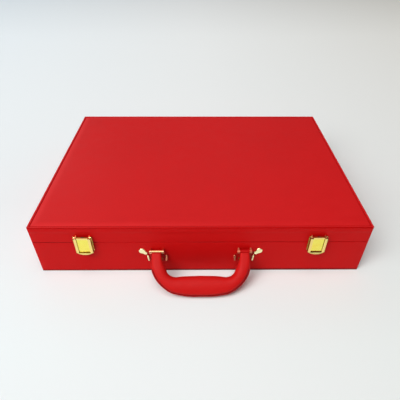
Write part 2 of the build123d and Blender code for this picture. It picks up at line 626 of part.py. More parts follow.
# ================================================================ handle brackets
for side, sgn in (("left", -1), ("right", 1)):
    xc = sgn * BRACKET_X
    # leaf-shaped end on the bracket's outer side, domed
    with BuildPart() as bracket_leaf:
        with BuildSketch(front(xc)):
            cx, cz, r1 = sgn * LEAF_AT[0], LEAF_AT[1], 4.5
            dx, dz, r2 = sgn * 15.9, 36.7, 3.0
            dist = math.hypot(cx - dx, cz - dz)
            ux, uz = (cx - dx) / dist, (cz - dz) / dist
            k = (r1 - r2) / dist
            h = math.sqrt(1 - k * k)
            quad = []
            for turn in (1, -1):
                tx, tz = ux * k + turn * uz * h, uz * k - turn * ux * h
                quad.append([(cx + r1 * tx, cz + r1 * tz), (dx + r2 * tx, dz + r2 * tz)])
            Polygon(quad[0][0], quad[0][1], quad[1][1], quad[1][0], align=None)
            with Locations((cx, cz)):
                Circle(r1)
            with Locations((dx, dz)):
                Circle(r2)
        extrude(amount=BRACKET_T - 0.1)
        fillet(bracket_leaf.edges().group_by(Axis.Y)[0], radius=1.1)

    with BuildPart() as handle_bracket:
        # shield-shaped plate
        with BuildSketch(front(xc)):
            Polygon(
                (-9.6, 41.4),
                (9.6, 41.4),
                (10.2, 34.6),
                (9.2, 20.6),
                (-9.2, 20.6),
                (-10.2, 34.6),
                align=None,
            )
            fillet(vertices().group_by(Axis.Y)[0], radius=3.5)
        extrude(amount=BRACKET_T)
        fillet(handle_bracket.edges().group_by(Axis.Y)[0], radius=0.6)
        # thin webs out to the beads and to the leaf
        with BuildSketch(front(xc)):
            Polygon(
                (-8.0, 38.0),
                (8.0, 38.0),
                (12.9, 33.4),
                (11.9, 23.6),
                (8.0, 22.0),
                (-8.0, 22.0),
                (-11.9, 23.6),
                (-12.9, 33.4),
                align=None,
            )
        extrude(amount=0.6)
        with BuildSketch(front(xc)):
            Polygon((sgn * 8.0, 39.0), (sgn * 17.0, 38.5), (sgn * 17.0, 35.5), (sgn * 8.0, 33.0), align=None)
        extrude(amount=0.6)
        add(bracket_leaf.part)
        # rounded beads down both sides of the shield
        for edge in (-1, 1):
            with BuildSketch(front(xc, 0.4)):
                with Locations(Location((edge * 12.4, 28.2, 0), (0, 0, -edge * 6.0))):
                    SlotCenterToCenter(8.4, 2.4, rotation=90)
            bead = extrude(amount=BRACKET_T + 1.3 - 0.4)
            fillet(
                handle_bracket.edges()
                .filter_by(lambda e: abs(e.center().Y + SY + BRACKET_T + 1.3) < 0.01)
                .filter_by(lambda e, c=xc, g=edge: (e.center().X - c) * g > 0),
                radius=1.0,
            )
        # ears that carry the handle pin
        for x0 in (9.3, -7.3):
            with BuildSketch(profile(xc + x0)):
                with Locations((HANDLE_S / 2, HANDLE_Z)):
                    Rectangle(HANDLE_S, 5.2)
                with Locations((HANDLE_S, HANDLE_Z)):
                    Circle(2.6)
            extrude(amount=2.0)
        with Locations((xc, -SY - HANDLE_S, HANDLE_Z)):
            Cylinder(HANDLE_PIN_R, 40, rotation=(0, 90, 0), mode=Mode.SUBTRACT)
        # screw holes, bored down for flush heads
        for x, z in BRACKET_SCREWS:
            with Locations(Location((xc + x, -SY - BRACKET_T / 2, z))):
                Cylinder(SHANK_R + FIT, 4, rotation=(90, 0, 0), mode=Mode.SUBTRACT)
            with Locations(Location((xc + x, -SY - 0.9 - 1.0, z))):
                Cylinder(HEAD_R + FIT, 2.0, rotation=(90, 0, 0), mode=Mode.SUBTRACT)
    handle_bracket.part.label = f"handle_bracket_{side}"
    export_step(handle_bracket.part, f"parts/handle_bracket_{side}.step")

    with BuildPart() as handle_pin:
        with Locations((xc, -SY - HANDLE_S, HANDLE_Z)):
            Cylinder(HANDLE_PIN_R, 18.6, rotation=(0, 90, 0))
        with Locations((xc - 9.6, -SY - HANDLE_S, HANDLE_Z), (xc + 9.6, -SY - HANDLE_S, HANDLE_Z)):
            Cylinder(2.0, 0.6, rotation=(0, 90, 0))
        fillet(handle_pin.edges().group_by(Axis.X)[0], radius=0.45)
        fillet(handle_pin.edges().group_by(Axis.X)[-1], radius=0.45)
    handle_pin.part.label = f"handle_pin_{side}"
    export_step(handle_pin.part, f"parts/handle_pin_{side}.step")

with BuildPart() as handle_bracket_screws:
    with Locations(*across(BASE_FRONT_HOLES, -SY - 1.35)):
        Cylinder(HEAD_R, 0.9, rotation=(90, 0, 0))
    with Locations(*across(BASE_FRONT_HOLES, -SY - 0.9 + 3.5)):
        Cylinder(SHANK_R, 7.0, rotation=(90, 0, 0))
    with Locations(*across(BASE_FRONT_HOLES, -SY - 1.8)):
        Box(2.4, 0.9, 0.5, mode=Mode.SUBTRACT)
        Box(0.5, 0.9, 2.4, mode=Mode.SUBTRACT)
handle_bracket_screws.part.label = "handle_bracket_screws"
export_step(handle_bracket_screws.part, "parts/handle_bracket_screws.step")

# ================================================================ handle
# In the plane of the handle: u along X, v away from the pins, w its normal
# towards the case.
A = math.radians(REST)
HP = Plane(
    origin=(0, -SY - HANDLE_S, HANDLE_Z), x_dir=(1, 0, 0), z_dir=(0, math.sin(A), -math.cos(A))
)

# half of the handle from one pin to the middle: u, v, half width, half thickness
HALF = [
    (59.3, 3.2, 6.4, 2.7),
    (59.2, 9.0, 6.9, 4.5),
    (59.1, 15.0, 7.5, 5.7),
    (58.0, 21.0, 8.2, 7.0),
    (55.6, 26.8, 8.8, 8.0),
    (51.5, 33.4, 9.1, 8.7),
    (45.4, 39.6, 9.3, 9.0),
    (36.4, 44.4, 10.7, 9.0),
    (22.2, 45.9, 12.9, 9.0),
]
STATIONS = HALF + [(0.0, 46.15, 13.6, 9.0)] + [(-u, v, a, b) for u, v, a, b in reversed(HALF)]


def section_planes(stations):
    """A plane square to the handle's path at each station."""
    planes = []
    for i, (u, v, a, b) in enumerate(stations):
        if i == 0:
            du, dv = 0.0, 1.0
        elif i == len(stations) - 1:
            du, dv = 0.0, -1.0
        else:
            p, q = stations[i - 1], stations[i + 1]
            du, dv = q[0] - p[0], q[1] - p[1]
        n = math.hypot(du, dv)
        du, dv = du / n, dv / n
        along = HP.x_dir * du + HP.y_dir * dv
        out = HP.x_dir * -dv + HP.y_dir * du
        planes.append(Plane(origin=HP.from_local_coords(Vector(u, v, 0)), x_dir=out, z_dir=along))
    return planes


def inside(stations, thick, end):
    """The same path, thinner by the cover and shorter at both ends."""
    got = [(u, v, a - thick, b - thick) for u, v, a, b in stations]
    for i, j in ((0, 1), (-1, -2)):
        u, v, a, b = got[i]
        u2, v2, a2, b2 = got[j]
        k = end / (v2 - v)
        got[i] = (u + (u2 - u) * k, v + end, a + (a2 - a) * k, b + (b2 - b) * k)
    return got


LUG_V0, LUG_V1, LUG_HW, LUG_HT = 1.8, 16.0, 4.5, 0.8
CORE_V, CORE_HW, CORE_T = 10.5, 3.5, 1.6
RIVET_V = 13.0

for side, sgn in (("left", -1), ("right", 1)):
    xc = sgn * BRACKET_X
    with BuildPart() as handle_lug:
        with Locations((xc, -SY - HANDLE_S, HANDLE_Z)):
            Cylinder(2.2, 14.0, rotation=(0, 90, 0))
        with BuildSketch(HP.offset(-LUG_HT)):
            with Locations((xc, (LUG_V0 + LUG_V1) / 2)):
                Rectangle(2 * LUG_HW, LUG_V1 - LUG_V0)
        extrude(amount=2 * LUG_HT)
        with Locations((xc, -SY - HANDLE_S, HANDLE_Z)):
            Cylinder(HANDLE_PIN_R + FIT, 20, rotation=(0, 90, 0), mode=Mode.SUBTRACT)
        with BuildSketch(HP.offset(-3)):
            with Locations((xc, RIVET_V)):
                Circle(1.5)
        extrude(amount=6, mode=Mode.SUBTRACT)
    handle_lug.part.label = f"handle_lug_{side}"
    export_step(handle_lug.part, f"parts/handle_lug_{side}.step")

with BuildPart() as handle_rivets:
    for xc in (-BRACKET_X, BRACKET_X):
        with BuildSketch(HP.offset(-LUG_HT)):
            with Locations((xc, RIVET_V)):
                Circle(1.5)
        extrude(amount=2 * LUG_HT + CORE_T)
        for w in (-LUG_HT - 0.5, LUG_HT + CORE_T):
            with BuildSketch(HP.offset(w)):
                with Locations((xc, RIVET_V)):
                    Circle(2.2)
            extrude(amount=0.5)
handle_rivets.part.label = "handle_rivets"
export_step(handle_rivets.part, "parts/handle_rivets.step")

# steel strip through the handle
with BuildPart() as handle_core:
    with BuildSketch(HP.offset(LUG_HT)):
        with BuildLine():
            right = [(BRACKET_X, CORE_V), (BRACKET_X, 19.0), (51.8, 33.4), (40.0, 42.6), (22.0, 45.9)]
            path = FilletPolyline(*(right + [(-x, y) for x, y in reversed(right)]), radius=9.0)
            offset(path, amount=CORE_HW, side=Side.BOTH)
        make_face()
    extrude(amount=CORE_T)
    with BuildSketch(HP.offset(-3)):
        with Locations((BRACKET_X, RIVET_V), (-BRACKET_X, RIVET_V)):
            Circle(1.5)
    extrude(amount=8, mode=Mode.SUBTRACT)
handle_core.part.label = "handle_core"
export_step(handle_core.part, "parts/handle_core.step")

with BuildPart() as handle_padding:
    fill = inside(STATIONS, COVER + 0.05, COVER + 0.05)
    for place, (u, v, a, b) in zip(section_planes(fill), fill):
        with BuildSketch(place):
            Ellipse(a, b)
    loft()
    # slots for the strip, the lugs and the rivets
    add(handle_core.part, mode=Mode.SUBTRACT)
    add(handle_rivets.part, mode=Mode.SUBTRACT)
    with BuildSketch(HP.offset(-LUG_HT)):
        with Locations((-BRACKET_X, 8.0), (BRACKET_X, 8.0)):
            Rectangle(2 * LUG_HW, 16.0)
    extrude(amount=2 * LUG_HT, mode=Mode.SUBTRACT)
handle_padding.part.label = "handle_padding"
export_step(handle_padding.part, "parts/handle_padding.step")

with BuildPart() as handle_leather:
    for place, (u, v, a, b) in zip(section_planes(STATIONS), STATIONS):
        with BuildSketch(place):
            Ellipse(a, b)
    loft()
    hollow = inside(STATIONS, COVER, COVER)
    for place, (u, v, a, b) in zip(section_planes(hollow), hollow):
        with BuildSketch(place):
            Ellipse(a, b)
    loft(mode=Mode.SUBTRACT)
    # the lugs come out through the ends
    with BuildSketch(HP.offset(-LUG_HT)):
        with Locations((-BRACKET_X, 4.0), (BRACKET_X, 4.0)):
            Rectangle(2 * LUG_HW, 8.0)
    extrude(amount=2 * LUG_HT, mode=Mode.SUBTRACT)
handle_leather.part.label = "handle_leather"
export_step(handle_leather.part, "parts/handle_leather.step")
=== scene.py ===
import math

import bmesh
import bpy
from mathutils import Matrix, Vector, noise


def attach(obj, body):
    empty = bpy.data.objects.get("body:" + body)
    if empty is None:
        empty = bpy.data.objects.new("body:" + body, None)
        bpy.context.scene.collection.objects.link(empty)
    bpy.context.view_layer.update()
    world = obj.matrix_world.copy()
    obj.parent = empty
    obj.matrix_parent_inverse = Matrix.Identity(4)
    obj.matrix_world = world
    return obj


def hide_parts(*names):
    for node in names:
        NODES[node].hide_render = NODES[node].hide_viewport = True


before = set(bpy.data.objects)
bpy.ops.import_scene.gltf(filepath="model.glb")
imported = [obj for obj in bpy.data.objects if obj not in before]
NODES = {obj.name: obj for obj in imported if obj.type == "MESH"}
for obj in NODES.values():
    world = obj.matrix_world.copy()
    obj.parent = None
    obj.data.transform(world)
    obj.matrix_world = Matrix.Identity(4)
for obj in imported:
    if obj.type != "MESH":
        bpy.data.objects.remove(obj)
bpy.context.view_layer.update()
MM = 0.001

# ------------------------------------------------------------------ sizes, mm
W, D, H = 449.0, 320.0, 82.7
RIM, SKIN, CORNER = 0.2, 1.0, 1.2
SX, SY = W / 2 - RIM, D / 2 - RIM
SEAM, GAP = 56.2, 0.4
LID_EDGE = SEAM + GAP
RIM_H = 2.5
LX, LY = SX - 8.0, SY - 8.0  # folded-in leather, inside
NX, NY = SX - 9.5, SY - 9.5  # lining, inside

# ------------------------------------------------------------------ camera
cam_data = bpy.data.cameras.new("camera")
cam_data.sensor_fit = "HORIZONTAL"
cam_data.sensor_width = 36.0
cam_data.lens = 32.834
cam_data.clip_start, cam_data.clip_end = 0.02, 60.0
cam = bpy.data.objects.new("camera", cam_data)
bpy.context.scene.collection.objects.link(cam)
bpy.context.scene.camera = cam
pitch, yaw, roll = (math.radians(a) for a in (38.758, 0.6567, 0.3063))
fwd = Vector((math.sin(yaw) * math.cos(pitch), math.cos(yaw) * math.cos(pitch), -math.sin(pitch)))
right = Vector((math.cos(yaw), -math.sin(yaw), 0.0))
up = right.cross(fwd)
r2 = math.cos(roll) * right + math.sin(roll) * up
u2 = -math.sin(roll) * right + math.cos(roll) * up
rot = Matrix((r2, u2, -fwd)).transposed().to_4x4()
cam.matrix_world = Matrix.Translation(Vector((-5.3, -503.5, 404.35)) * MM) @ rot

scene = bpy.context.scene
scene.view_settings.view_transform = "Standard"
scene.view_settings.look = "None"


# ------------------------------------------------------------------ node helpers
def new_material(name):
    m = bpy.data.materials.new(name)
    m.use_nodes = True
    nt = m.node_tree
    nt.nodes.clear()
    out = nt.nodes.new("ShaderNodeOutputMaterial")
    bsdf = nt.nodes.new("ShaderNodeBsdfPrincipled")
    nt.links.new(bsdf.outputs["BSDF"], out.inputs["Surface"])
    return m, nt, bsdf


def add(nt, kind, **props):
    n = nt.nodes.new(kind)
    for k, v in props.items():
        setattr(n, k, v)
    return n


def noise_tex(nt, coord, scale, detail=3.0, rough=0.5):
    n = add(nt, "ShaderNodeTexNoise")
    n.inputs["Scale"].default_value = scale
    n.inputs["Detail"].default_value = detail
    n.inputs["Roughness"].default_value = rough
    nt.links.new(coord, n.inputs["Vector"])
    return n.outputs["Fac"]


def ramp(nt, fac, stops):
    r = add(nt, "ShaderNodeValToRGB")
    el = r.color_ramp.elements
    while len(el) < len(stops):
        el.new(0.5)
    for e, (p, c) in zip(el, stops):
        e.position = p
        e.color = (c, c, c, 1) if isinstance(c, (int, float)) else (*c, 1)
    nt.links.new(fac, r.inputs["Fac"])
    return r.outputs["Color"]


def maths(nt, op, a, b):
    n = add(nt, "ShaderNodeMath", operation=op)
    for sock, v in zip(n.inputs, (a, b)):
        if isinstance(v, (int, float)):
            sock.default_value = v
        else:
            nt.links.new(v, sock)
    return n.outputs["Value"]


def mix_rgb(nt, fac, a, b, mode="MIX"):
    n = add(nt, "ShaderNodeMix", data_type="RGBA", blend_type=mode)
    for sock, v in ((n.inputs["Factor"], fac), (n.inputs["A"], a), (n.inputs["B"], b)):
        if isinstance(v, (int, float)):
            sock.default_value = v
        elif isinstance(v, tuple):
            sock.default_value = (*v, 1)
        else:
            nt.links.new(v, sock)
    return n.outputs["Result"]


def object_coord(nt):
    return add(nt, "ShaderNodeTexCoord").outputs["Object"]


# ------------------------------------------------------------------ materials
def leather(name, base, dark, rough=(0.40, 0.52), grain=1.0, tint=(0.97, 1.04), spec=0.11, edge=None, painted_light_colour=(0.06, 0.001, 0.001)):
    """Smooth bonded leather: fine pebble grain, faint mottling, soft satin, with painted light in another colour where
    'edge' says so (painted shade or a painted highlight, as the caller gives).
    """
    m, nt, b = new_material(name)
    co = object_coord(nt)
    cells = add(nt, "ShaderNodeTexVoronoi", feature="DISTANCE_TO_EDGE")
    cells.inputs["Scale"].default_value = 1500.0
    warp = add(nt, "ShaderNodeTexNoise")
    warp.inputs["Scale"].default_value = 420.0
    warp.inputs["Detail"].default_value = 2.0
    nt.links.new(co, warp.inputs["Vector"])
    bend = add(nt, "ShaderNodeVectorMath", operation="SCALE")
    nt.links.new(warp.outputs["Color"], bend.inputs[0])
    bend.inputs["Scale"].default_value = 0.0011
    moved = add(nt, "ShaderNodeVectorMath", operation="ADD")
    nt.links.new(co, moved.inputs[0])
    nt.links.new(bend.outputs[0], moved.inputs[1])
    nt.links.new(moved.outputs[0], cells.inputs["Vector"])
    pebble = ramp(nt, cells.outputs["Distance"], [(0.0, 0.0), (0.16, 0.75), (0.45, 1.0)])
    fine = noise_tex(nt, co, 2600.0, 2.0)
    height = maths(nt, "ADD", maths(nt, "MULTIPLY", pebble, 0.8), maths(nt, "MULTIPLY", fine, 0.35))
    broad = noise_tex(nt, co, 9.0, 4.0, 0.55)
    blotch = noise_tex(nt, co, 55.0, 3.0)
    tone = ramp(nt, maths(nt, "ADD", maths(nt, "MULTIPLY", broad, 0.65), maths(nt, "MULTIPLY", blotch, 0.35)), [(0.3, tint[0]), (0.7, tint[1])])
    col = mix_rgb(nt, pebble, dark, base)
    if edge:
        col = mix_rgb(nt, edge(nt, co), col, painted_light_colour)
    nt.links.new(mix_rgb(nt, 1.0, col, tone, "MULTIPLY"), b.inputs["Base Color"])
    nt.links.new(ramp(nt, blotch, [(0.25, rough[0]), (0.75, rough[1])]), b.inputs["Roughness"])
    bump = add(nt, "ShaderNodeBump")
    bump.inputs["Strength"].default_value = 0.22 * grain
    bump.inputs["Distance"].default_value = 0.00008
    nt.links.new(height, bump.inputs["Height"])
    nt.links.new(bump.outputs["Normal"], b.inputs["Normal"])
    b.inputs["Specular IOR Level"].default_value = spec
    return m


def band(nt, v, lo, hi, soft):
    """1 where v lies between lo and hi, with soft edges."""
    a = add(nt, "ShaderNodeMapRange", interpolation_type="SMOOTHSTEP")
    nt.links.new(v, a.inputs["Value"])
    a.inputs["From Min"].default_value, a.inputs["From Max"].default_value = lo - soft, lo + soft
    c = add(nt, "ShaderNodeMapRange", interpolation_type="SMOOTHSTEP")
    nt.links.new(v, c.inputs["Value"])
    c.inputs["From Min"].default_value, c.inputs["From Max"].default_value = hi + soft, hi - soft
    return maths(nt, "MULTIPLY", a.outputs["Result"], c.outputs["Result"])


def painted_wall_shade(nt, co):
    """Painted shade on the wall leather: a painted contact shadow along the foot of the base, and painted shade on the
    two lips of the seam, deeper towards the left.
    """
    sep = add(nt, "ShaderNodeSeparateXYZ")
    nt.links.new(co, sep.inputs[0])
    place = maths(nt, "ADD", maths(nt, "MULTIPLY", sep.outputs["X"], 2.0), 0.5)
    foot = maths(nt, "MULTIPLY", band(nt, sep.outputs["Z"], -1.0, 0.0019, 0.0004), 0.80)
    rise = maths(nt, "MULTIPLY", band(nt, sep.outputs["Z"], -1.0, 0.0036, 0.0006), ramp(nt, place, [(0.15, 0.16), (0.35, 0.58), (0.75, 0.68), (0.95, 0.40)]))
    lips = band(nt, sep.outputs["Z"], (SEAM - 0.62) * MM, (LID_EDGE + 0.62) * MM, 0.00012)
    tint_and_painted_light = ramp(nt, place, [(0.18, 0.34), (0.27, 0.08), (0.42, 0.08), (0.5, 0.30), (0.72, 0.24), (0.82, 0.10)])
    return maths(nt, "MAXIMUM", maths(nt, "MAXIMUM", foot, rise), maths(nt, "MULTIPLY", lips, tint_and_painted_light))


def painted_rim_highlight(nt, co):
    """Painted highlight on the strip that rolls down to the lid's stitched line: a little lighter, most at the left and
    the front.
    """
    sep = add(nt, "ShaderNodeSeparateXYZ")
    nt.links.new(co, sep.inputs[0])
    x = maths(nt, "SUBTRACT", maths(nt, "ABSOLUTE", sep.outputs["X"], 0.0), SX * MM)
    y = maths(nt, "SUBTRACT", maths(nt, "ABSOLUTE", sep.outputs["Y"], 0.0), SY * MM)
    inward = maths(nt, "MAXIMUM", x, y)
    strip = maths(nt, "MULTIPLY", band(nt, inward, -0.0085, 1.0, 0.0060), band(nt, inward, -1.0, -0.0036, 0.0003))
    place = maths(nt, "ADD", maths(nt, "MULTIPLY", sep.outputs["X"], 2.0), 0.5)
    return maths(nt, "MULTIPLY", strip, ramp(nt, place, [(0.1, 0.85), (0.4, 0.58), (0.6, 0.22), (0.9, 0.05)]))


def painted_side_shade(nt):
    """Painted shade on the walls that face left and right: the pressed panel's groove and the flap's cut edges are
    darkened.
    """
    g = add(nt, "ShaderNodeNewGeometry")
    sep = add(nt, "ShaderNodeSeparateXYZ")
    nt.links.new(g.outputs["Normal"], sep.inputs[0])
    x = maths(nt, "ABSOLUTE", sep.outputs["X"], 0.0)
    z = maths(nt, "ABSOLUTE", sep.outputs["Z"], 0.0)
    return band(nt, x, 0.55, 2.0, 0.12), band(nt, z, 0.75, 2.0, 0.1)


# painted shade on the flap: its side-facing walls, and the slot under the panel
def flap_painted_shade(nt, co):
    sides, ends = painted_side_shade(nt)
    sep = add(nt, "ShaderNodeSeparateXYZ")
    nt.links.new(co, sep.inputs[0])
    slot = band(nt, sep.outputs["Z"], 0.0419, 0.0436, 0.0001)
    return maths(nt, "MAXIMUM", sides, maths(nt, "MULTIPLY", ends, slot))


def bracket_plate_painted_shade(nt, co):
    """Painted shade: the plate behind the handle's end gets the colour of leather in shade; the leaf, the bar and the
    raised beads stay bright.
    """
    sep = add(nt, "ShaderNodeSeparateXYZ")
    nt.links.new(co, sep.inputs[0])
    x = maths(nt, "ABSOLUTE", sep.outputs["X"], 0.0)
    across_plate = band(nt, x, 0.0592 - 0.0138, 0.0592 + 0.0138, 0.0002)
    low = band(nt, sep.outputs["Z"], 0.0, 0.0416, 0.0002)
    flush = band(nt, sep.outputs["Y"], -(SY + 1.95) * MM, 0.0, 0.00004)
    return maths(nt, "MULTIPLY", maths(nt, "MULTIPLY", across_plate, low), flush)


def flap_tint_and_knuckle_reflection(nt, co):
    """The raised band round the flap's panel, and its lip, a little warmer; the knuckles at the top get the same colour
    as a painted reflection of the red leather.
    """
    sep = add(nt, "ShaderNodeSeparateXYZ")
    nt.links.new(co, sep.inputs[0])
    x = maths(nt, "ABSOLUTE", maths(nt, "SUBTRACT", maths(nt, "ABSOLUTE", sep.outputs["X"], 0.0), 0.155), 0.0)
    rim = maths(nt, "MAXIMUM", band(nt, x, 0.0076, 1.0, 0.0001), band(nt, sep.outputs["Z"], -1.0, 0.0424, 0.0002))
    return maths(nt, "ADD", rim, maths(nt, "MULTIPLY", band(nt, sep.outputs["Z"], 0.0656, 1.0, 0.0002), 1.0))


# painted reflection of the red handle: a copper-red tint on the inner beads, and a little less on the ears
def painted_red_reflection(nt, co):
    sep = add(nt, "ShaderNodeSeparateXYZ")
    nt.links.new(co, sep.inputs[0])
    x = maths(nt, "ABSOLUTE", sep.outputs["X"], 0.0)
    beads = maths(nt, "MULTIPLY", band(nt, x, -1.0, 0.0502, 0.0003), band(nt, sep.outputs["Z"], -1.0, 0.0400, 0.0003))
    ears = maths(nt, "MULTIPLY", band(nt, x, 0.0480, 0.0703, 0.0002), band(nt, sep.outputs["Z"], 0.0414, 1.0, 0.0002))
    return maths(nt, "MAXIMUM", beads, maths(nt, "MULTIPLY", ears, 0.9))


def right_ears_painted_shade(nt, co):
    """Painted shade: under the handle's right end the plate's shade colour also covers the two ears, somewhat weaker.
    """
    sep = add(nt, "ShaderNodeSeparateXYZ")
    nt.links.new(co, sep.inputs[0])
    ears = maths(nt, "MULTIPLY", band(nt, sep.outputs["X"], 0.0480, 0.0703, 0.0002), band(nt, sep.outputs["Z"], 0.0414, 1.0, 0.0002))
    return maths(nt, "MAXIMUM", bracket_plate_painted_shade(nt, co), maths(nt, "MULTIPLY", ears, 0.62))


def metal(name, base, tarnish, rough=(0.14, 0.30), brushed=0.12, mask=None, painted_shade_colour=(0.30, 0.20, 0.02), masked_metallic=1.0, tint_and_painted_light=None, tint_and_painted_light_colour=None):
    """Plated metal: hairline scratches, a little duller and darker in patches. The first mask paints shade in its own
    colour and can make it less metallic; the second adds a tint that is partly painted reflection.
    """
    m, nt, b = new_material(name)
    co = object_coord(nt)
    broad = noise_tex(nt, co, 120.0, 4.0)
    mp = add(nt, "ShaderNodeMapping")
    mp.inputs["Scale"].default_value = (900.0, 900.0, 9000.0)
    nt.links.new(co, mp.inputs["Vector"])
    lines = add(nt, "ShaderNodeTexNoise")
    lines.inputs["Scale"].default_value = 1.0
    lines.inputs["Detail"].default_value = 3.0
    nt.links.new(mp.outputs["Vector"], lines.inputs["Vector"])
    col = mix_rgb(nt, ramp(nt, broad, [(0.35, 0.0), (0.75, 1.0)]), base, tarnish)
    if tint_and_painted_light:
        col = mix_rgb(nt, tint_and_painted_light(nt, co), col, tint_and_painted_light_colour)
    dark = mask(nt, co) if mask else None
    if mask:
        col = mix_rgb(nt, dark, col, painted_shade_colour)
    nt.links.new(col, b.inputs["Base Color"])
    nt.links.new(
        ramp(nt, maths(nt, "ADD", maths(nt, "MULTIPLY", broad, 0.6), maths(nt, "MULTIPLY", lines.outputs["Fac"], 0.4)), [(0.3, rough[0]), (0.75, rough[1])]),
        b.inputs["Roughness"],
    )
    bump = add(nt, "ShaderNodeBump")
    bump.inputs["Strength"].default_value = brushed
    bump.inputs["Distance"].default_value = 0.00002
    nt.links.new(lines.outputs["Fac"], bump.inputs["Height"])
    nt.links.new(bump.outputs["Normal"], b.inputs["Normal"])
    b.inputs["Metallic"].default_value = 1.0
    if mask and masked_metallic < 1.0:
        b.inputs["Specular IOR Level"].default_value = 0.1
        nt.links.new(maths(nt, "SUBTRACT", 1.0, maths(nt, "MULTIPLY", dark, 1.0 - masked_metallic)), b.inputs["Metallic"])
    return m


def velvet(name, base, deep):
    """Short pile velvet: nap direction patches, fine pile and a soft sheen."""
    m, nt, b = new_material(name)
    co = object_coord(nt)
    nap = noise_tex(nt, co, 28.0, 4.0, 0.6)
    pile = noise_tex(nt, co, 3200.0, 2.0)
    mid = noise_tex(nt, co, 350.0, 3.0)
    f = maths(nt, "ADD", maths(nt, "MULTIPLY", nap, 0.6), maths(nt, "MULTIPLY", mid, 0.4))
    col = mix_rgb(nt, ramp(nt, f, [(0.35, 0.0), (0.65, 1.0)]), deep, base)
    col = mix_rgb(nt, ramp(nt, pile, [(0.3, 0.35), (0.7, 0.0)]), col, deep)
    nt.links.new(col, b.inputs["Base Color"])
    nt.links.new(ramp(nt, mid, [(0.3, 0.82), (0.7, 0.95)]), b.inputs["Roughness"])
    bump = add(nt, "ShaderNodeBump")
    bump.inputs["Strength"].default_value = 0.5
    bump.inputs["Distance"].default_value = 0.0002
    nt.links.new(maths(nt, "ADD", pile, mid), bump.inputs["Height"])
    nt.links.new(bump.outputs["Normal"], b.inputs["Normal"])
    b.inputs["Specular IOR Level"].default_value = 0.15
    b.inputs["Sheen Weight"].default_value = 0.6
    b.inputs["Sheen Roughness"].default_value = 0.35
    b.inputs["Sheen Tint"].default_value = (0.9, 0.35, 0.38, 1)
    return m


def plain(name, base, dark, scale, rough, stretch=(1, 1, 1), spec=0.4):
    m, nt, b = new_material(name)
    co = object_coord(nt)
    mp = add(nt, "ShaderNodeMapping")
    mp.inputs["Scale"].default_value = stretch
    nt.links.new(co, mp.inputs["Vector"])
    f = noise_tex(nt, mp.outputs["Vector"], scale, 5.0, 0.6)
    nt.links.new(mix_rgb(nt, ramp(nt, f, [(0.3, 0.0), (0.7, 1.0)]), dark, base), b.inputs["Base Color"])
    nt.links.new(ramp(nt, f, [(0.3, rough[0]), (0.7, rough[1])]), b.inputs["Roughness"])
    bump = add(nt, "ShaderNodeBump")
    bump.inputs["Strength"].default_value = 0.3
    bump.inputs["Distance"].default_value = 0.0002
    nt.links.new(f, bump.inputs["Height"])
    nt.links.new(bump.outputs["Normal"], b.inputs["Normal"])
    b.inputs["Specular IOR Level"].default_value = spec
    return m


RED = (0.61, 0.0024, 0.0028)
RED_D = (0.54, 0.0018, 0.0022)
# the top's leather is pinker than the walls': painted sheen, with the rim's painted highlight
mat_top_painted_sheen = leather("leather_top_painted_sheen", (0.605, 0.0062, 0.0072), (0.535, 0.0052, 0.0062), spec=0.27, edge=painted_rim_highlight, painted_light_colour=(0.66, 0.0160, 0.0175))
mat_rim = leather("leather_rim", (0.60, 0.0024, 0.0028), (0.53, 0.0018, 0.0022), spec=0.07)
mat_crease = leather("leather_crease", (0.40, 0.0013, 0.0015), (0.34, 0.0010, 0.0012), spec=0.03)
mat_groove = leather("leather_groove", (0.47, 0.0020, 0.0024), (0.40, 0.0016, 0.0020), spec=0.03)
mat_side = leather("leather_side", RED, RED_D, spec=0.09, edge=painted_wall_shade)
mat_handle = leather("leather_handle", (0.56, 0.0058, 0.0052), (0.49, 0.0046, 0.0042), rough=(0.50, 0.62), spec=0.14)
mat_welt = leather("leather_welt", (0.42, 0.0030, 0.0036), (0.34, 0.0020, 0.0022), rough=(0.44, 0.56), spec=0.20)
mat_stitch_red = plain("thread_red", (0.46, 0.0060, 0.0070), (0.36, 0.0040, 0.0045), 1500.0, (0.5, 0.7), spec=0.2)
# darker than the handle's leather: painted shade on the tabs round the barrels
mat_tab_painted_shade = leather("leather_tab_painted_shade", (0.47, 0.003, 0.0035), (0.40, 0.002, 0.0028), rough=(0.50, 0.62), spec=0.10)
mat_thread = plain("thread", (0.42, 0.010, 0.012), (0.28, 0.005, 0.006), 1500.0, (0.5, 0.7))
mat_gold = metal("gold_plate", (1.0, 0.89, 0.24), (0.95, 0.78, 0.17))
mat_flap = metal("gold_flap", (1.0, 0.91, 0.16), (0.99, 0.84, 0.125), mask=flap_painted_shade, tint_and_painted_light=flap_tint_and_knuckle_reflection, tint_and_painted_light_colour=(1.0, 0.78, 0.27))
# paler gold for the handle's brackets: painted highlight; its masks add painted shade and painted reflection
mat_pale_painted_highlight = metal(
    "gold_pale_painted_highlight", (1.0, 0.98, 0.58), (0.98, 0.92, 0.48), mask=right_ears_painted_shade, painted_shade_colour=(0.44, 0.006, 0.005), masked_metallic=0.0, tint_and_painted_light=painted_red_reflection, tint_and_painted_light_colour=(0.86, 0.36, 0.20)
)
# reddened gold for the handle's bar: painted reflection of the red leather
mat_bar_painted_reflection = metal("gold_bar_painted_reflection", (0.92, 0.50, 0.24), (0.80, 0.40, 0.18), rough=(0.34, 0.46))
# darker, reddened gold for the latch plates: painted shade and painted reflection of the red leather
mat_plate = metal("gold_painted_shade_and_reflection", (0.95, 0.48, 0.26), (0.82, 0.36, 0.17), rough=(0.28, 0.42))
mat_bronze = metal("dark_brass", (0.24, 0.12, 0.025), (0.15, 0.07, 0.015), rough=(0.3, 0.45))
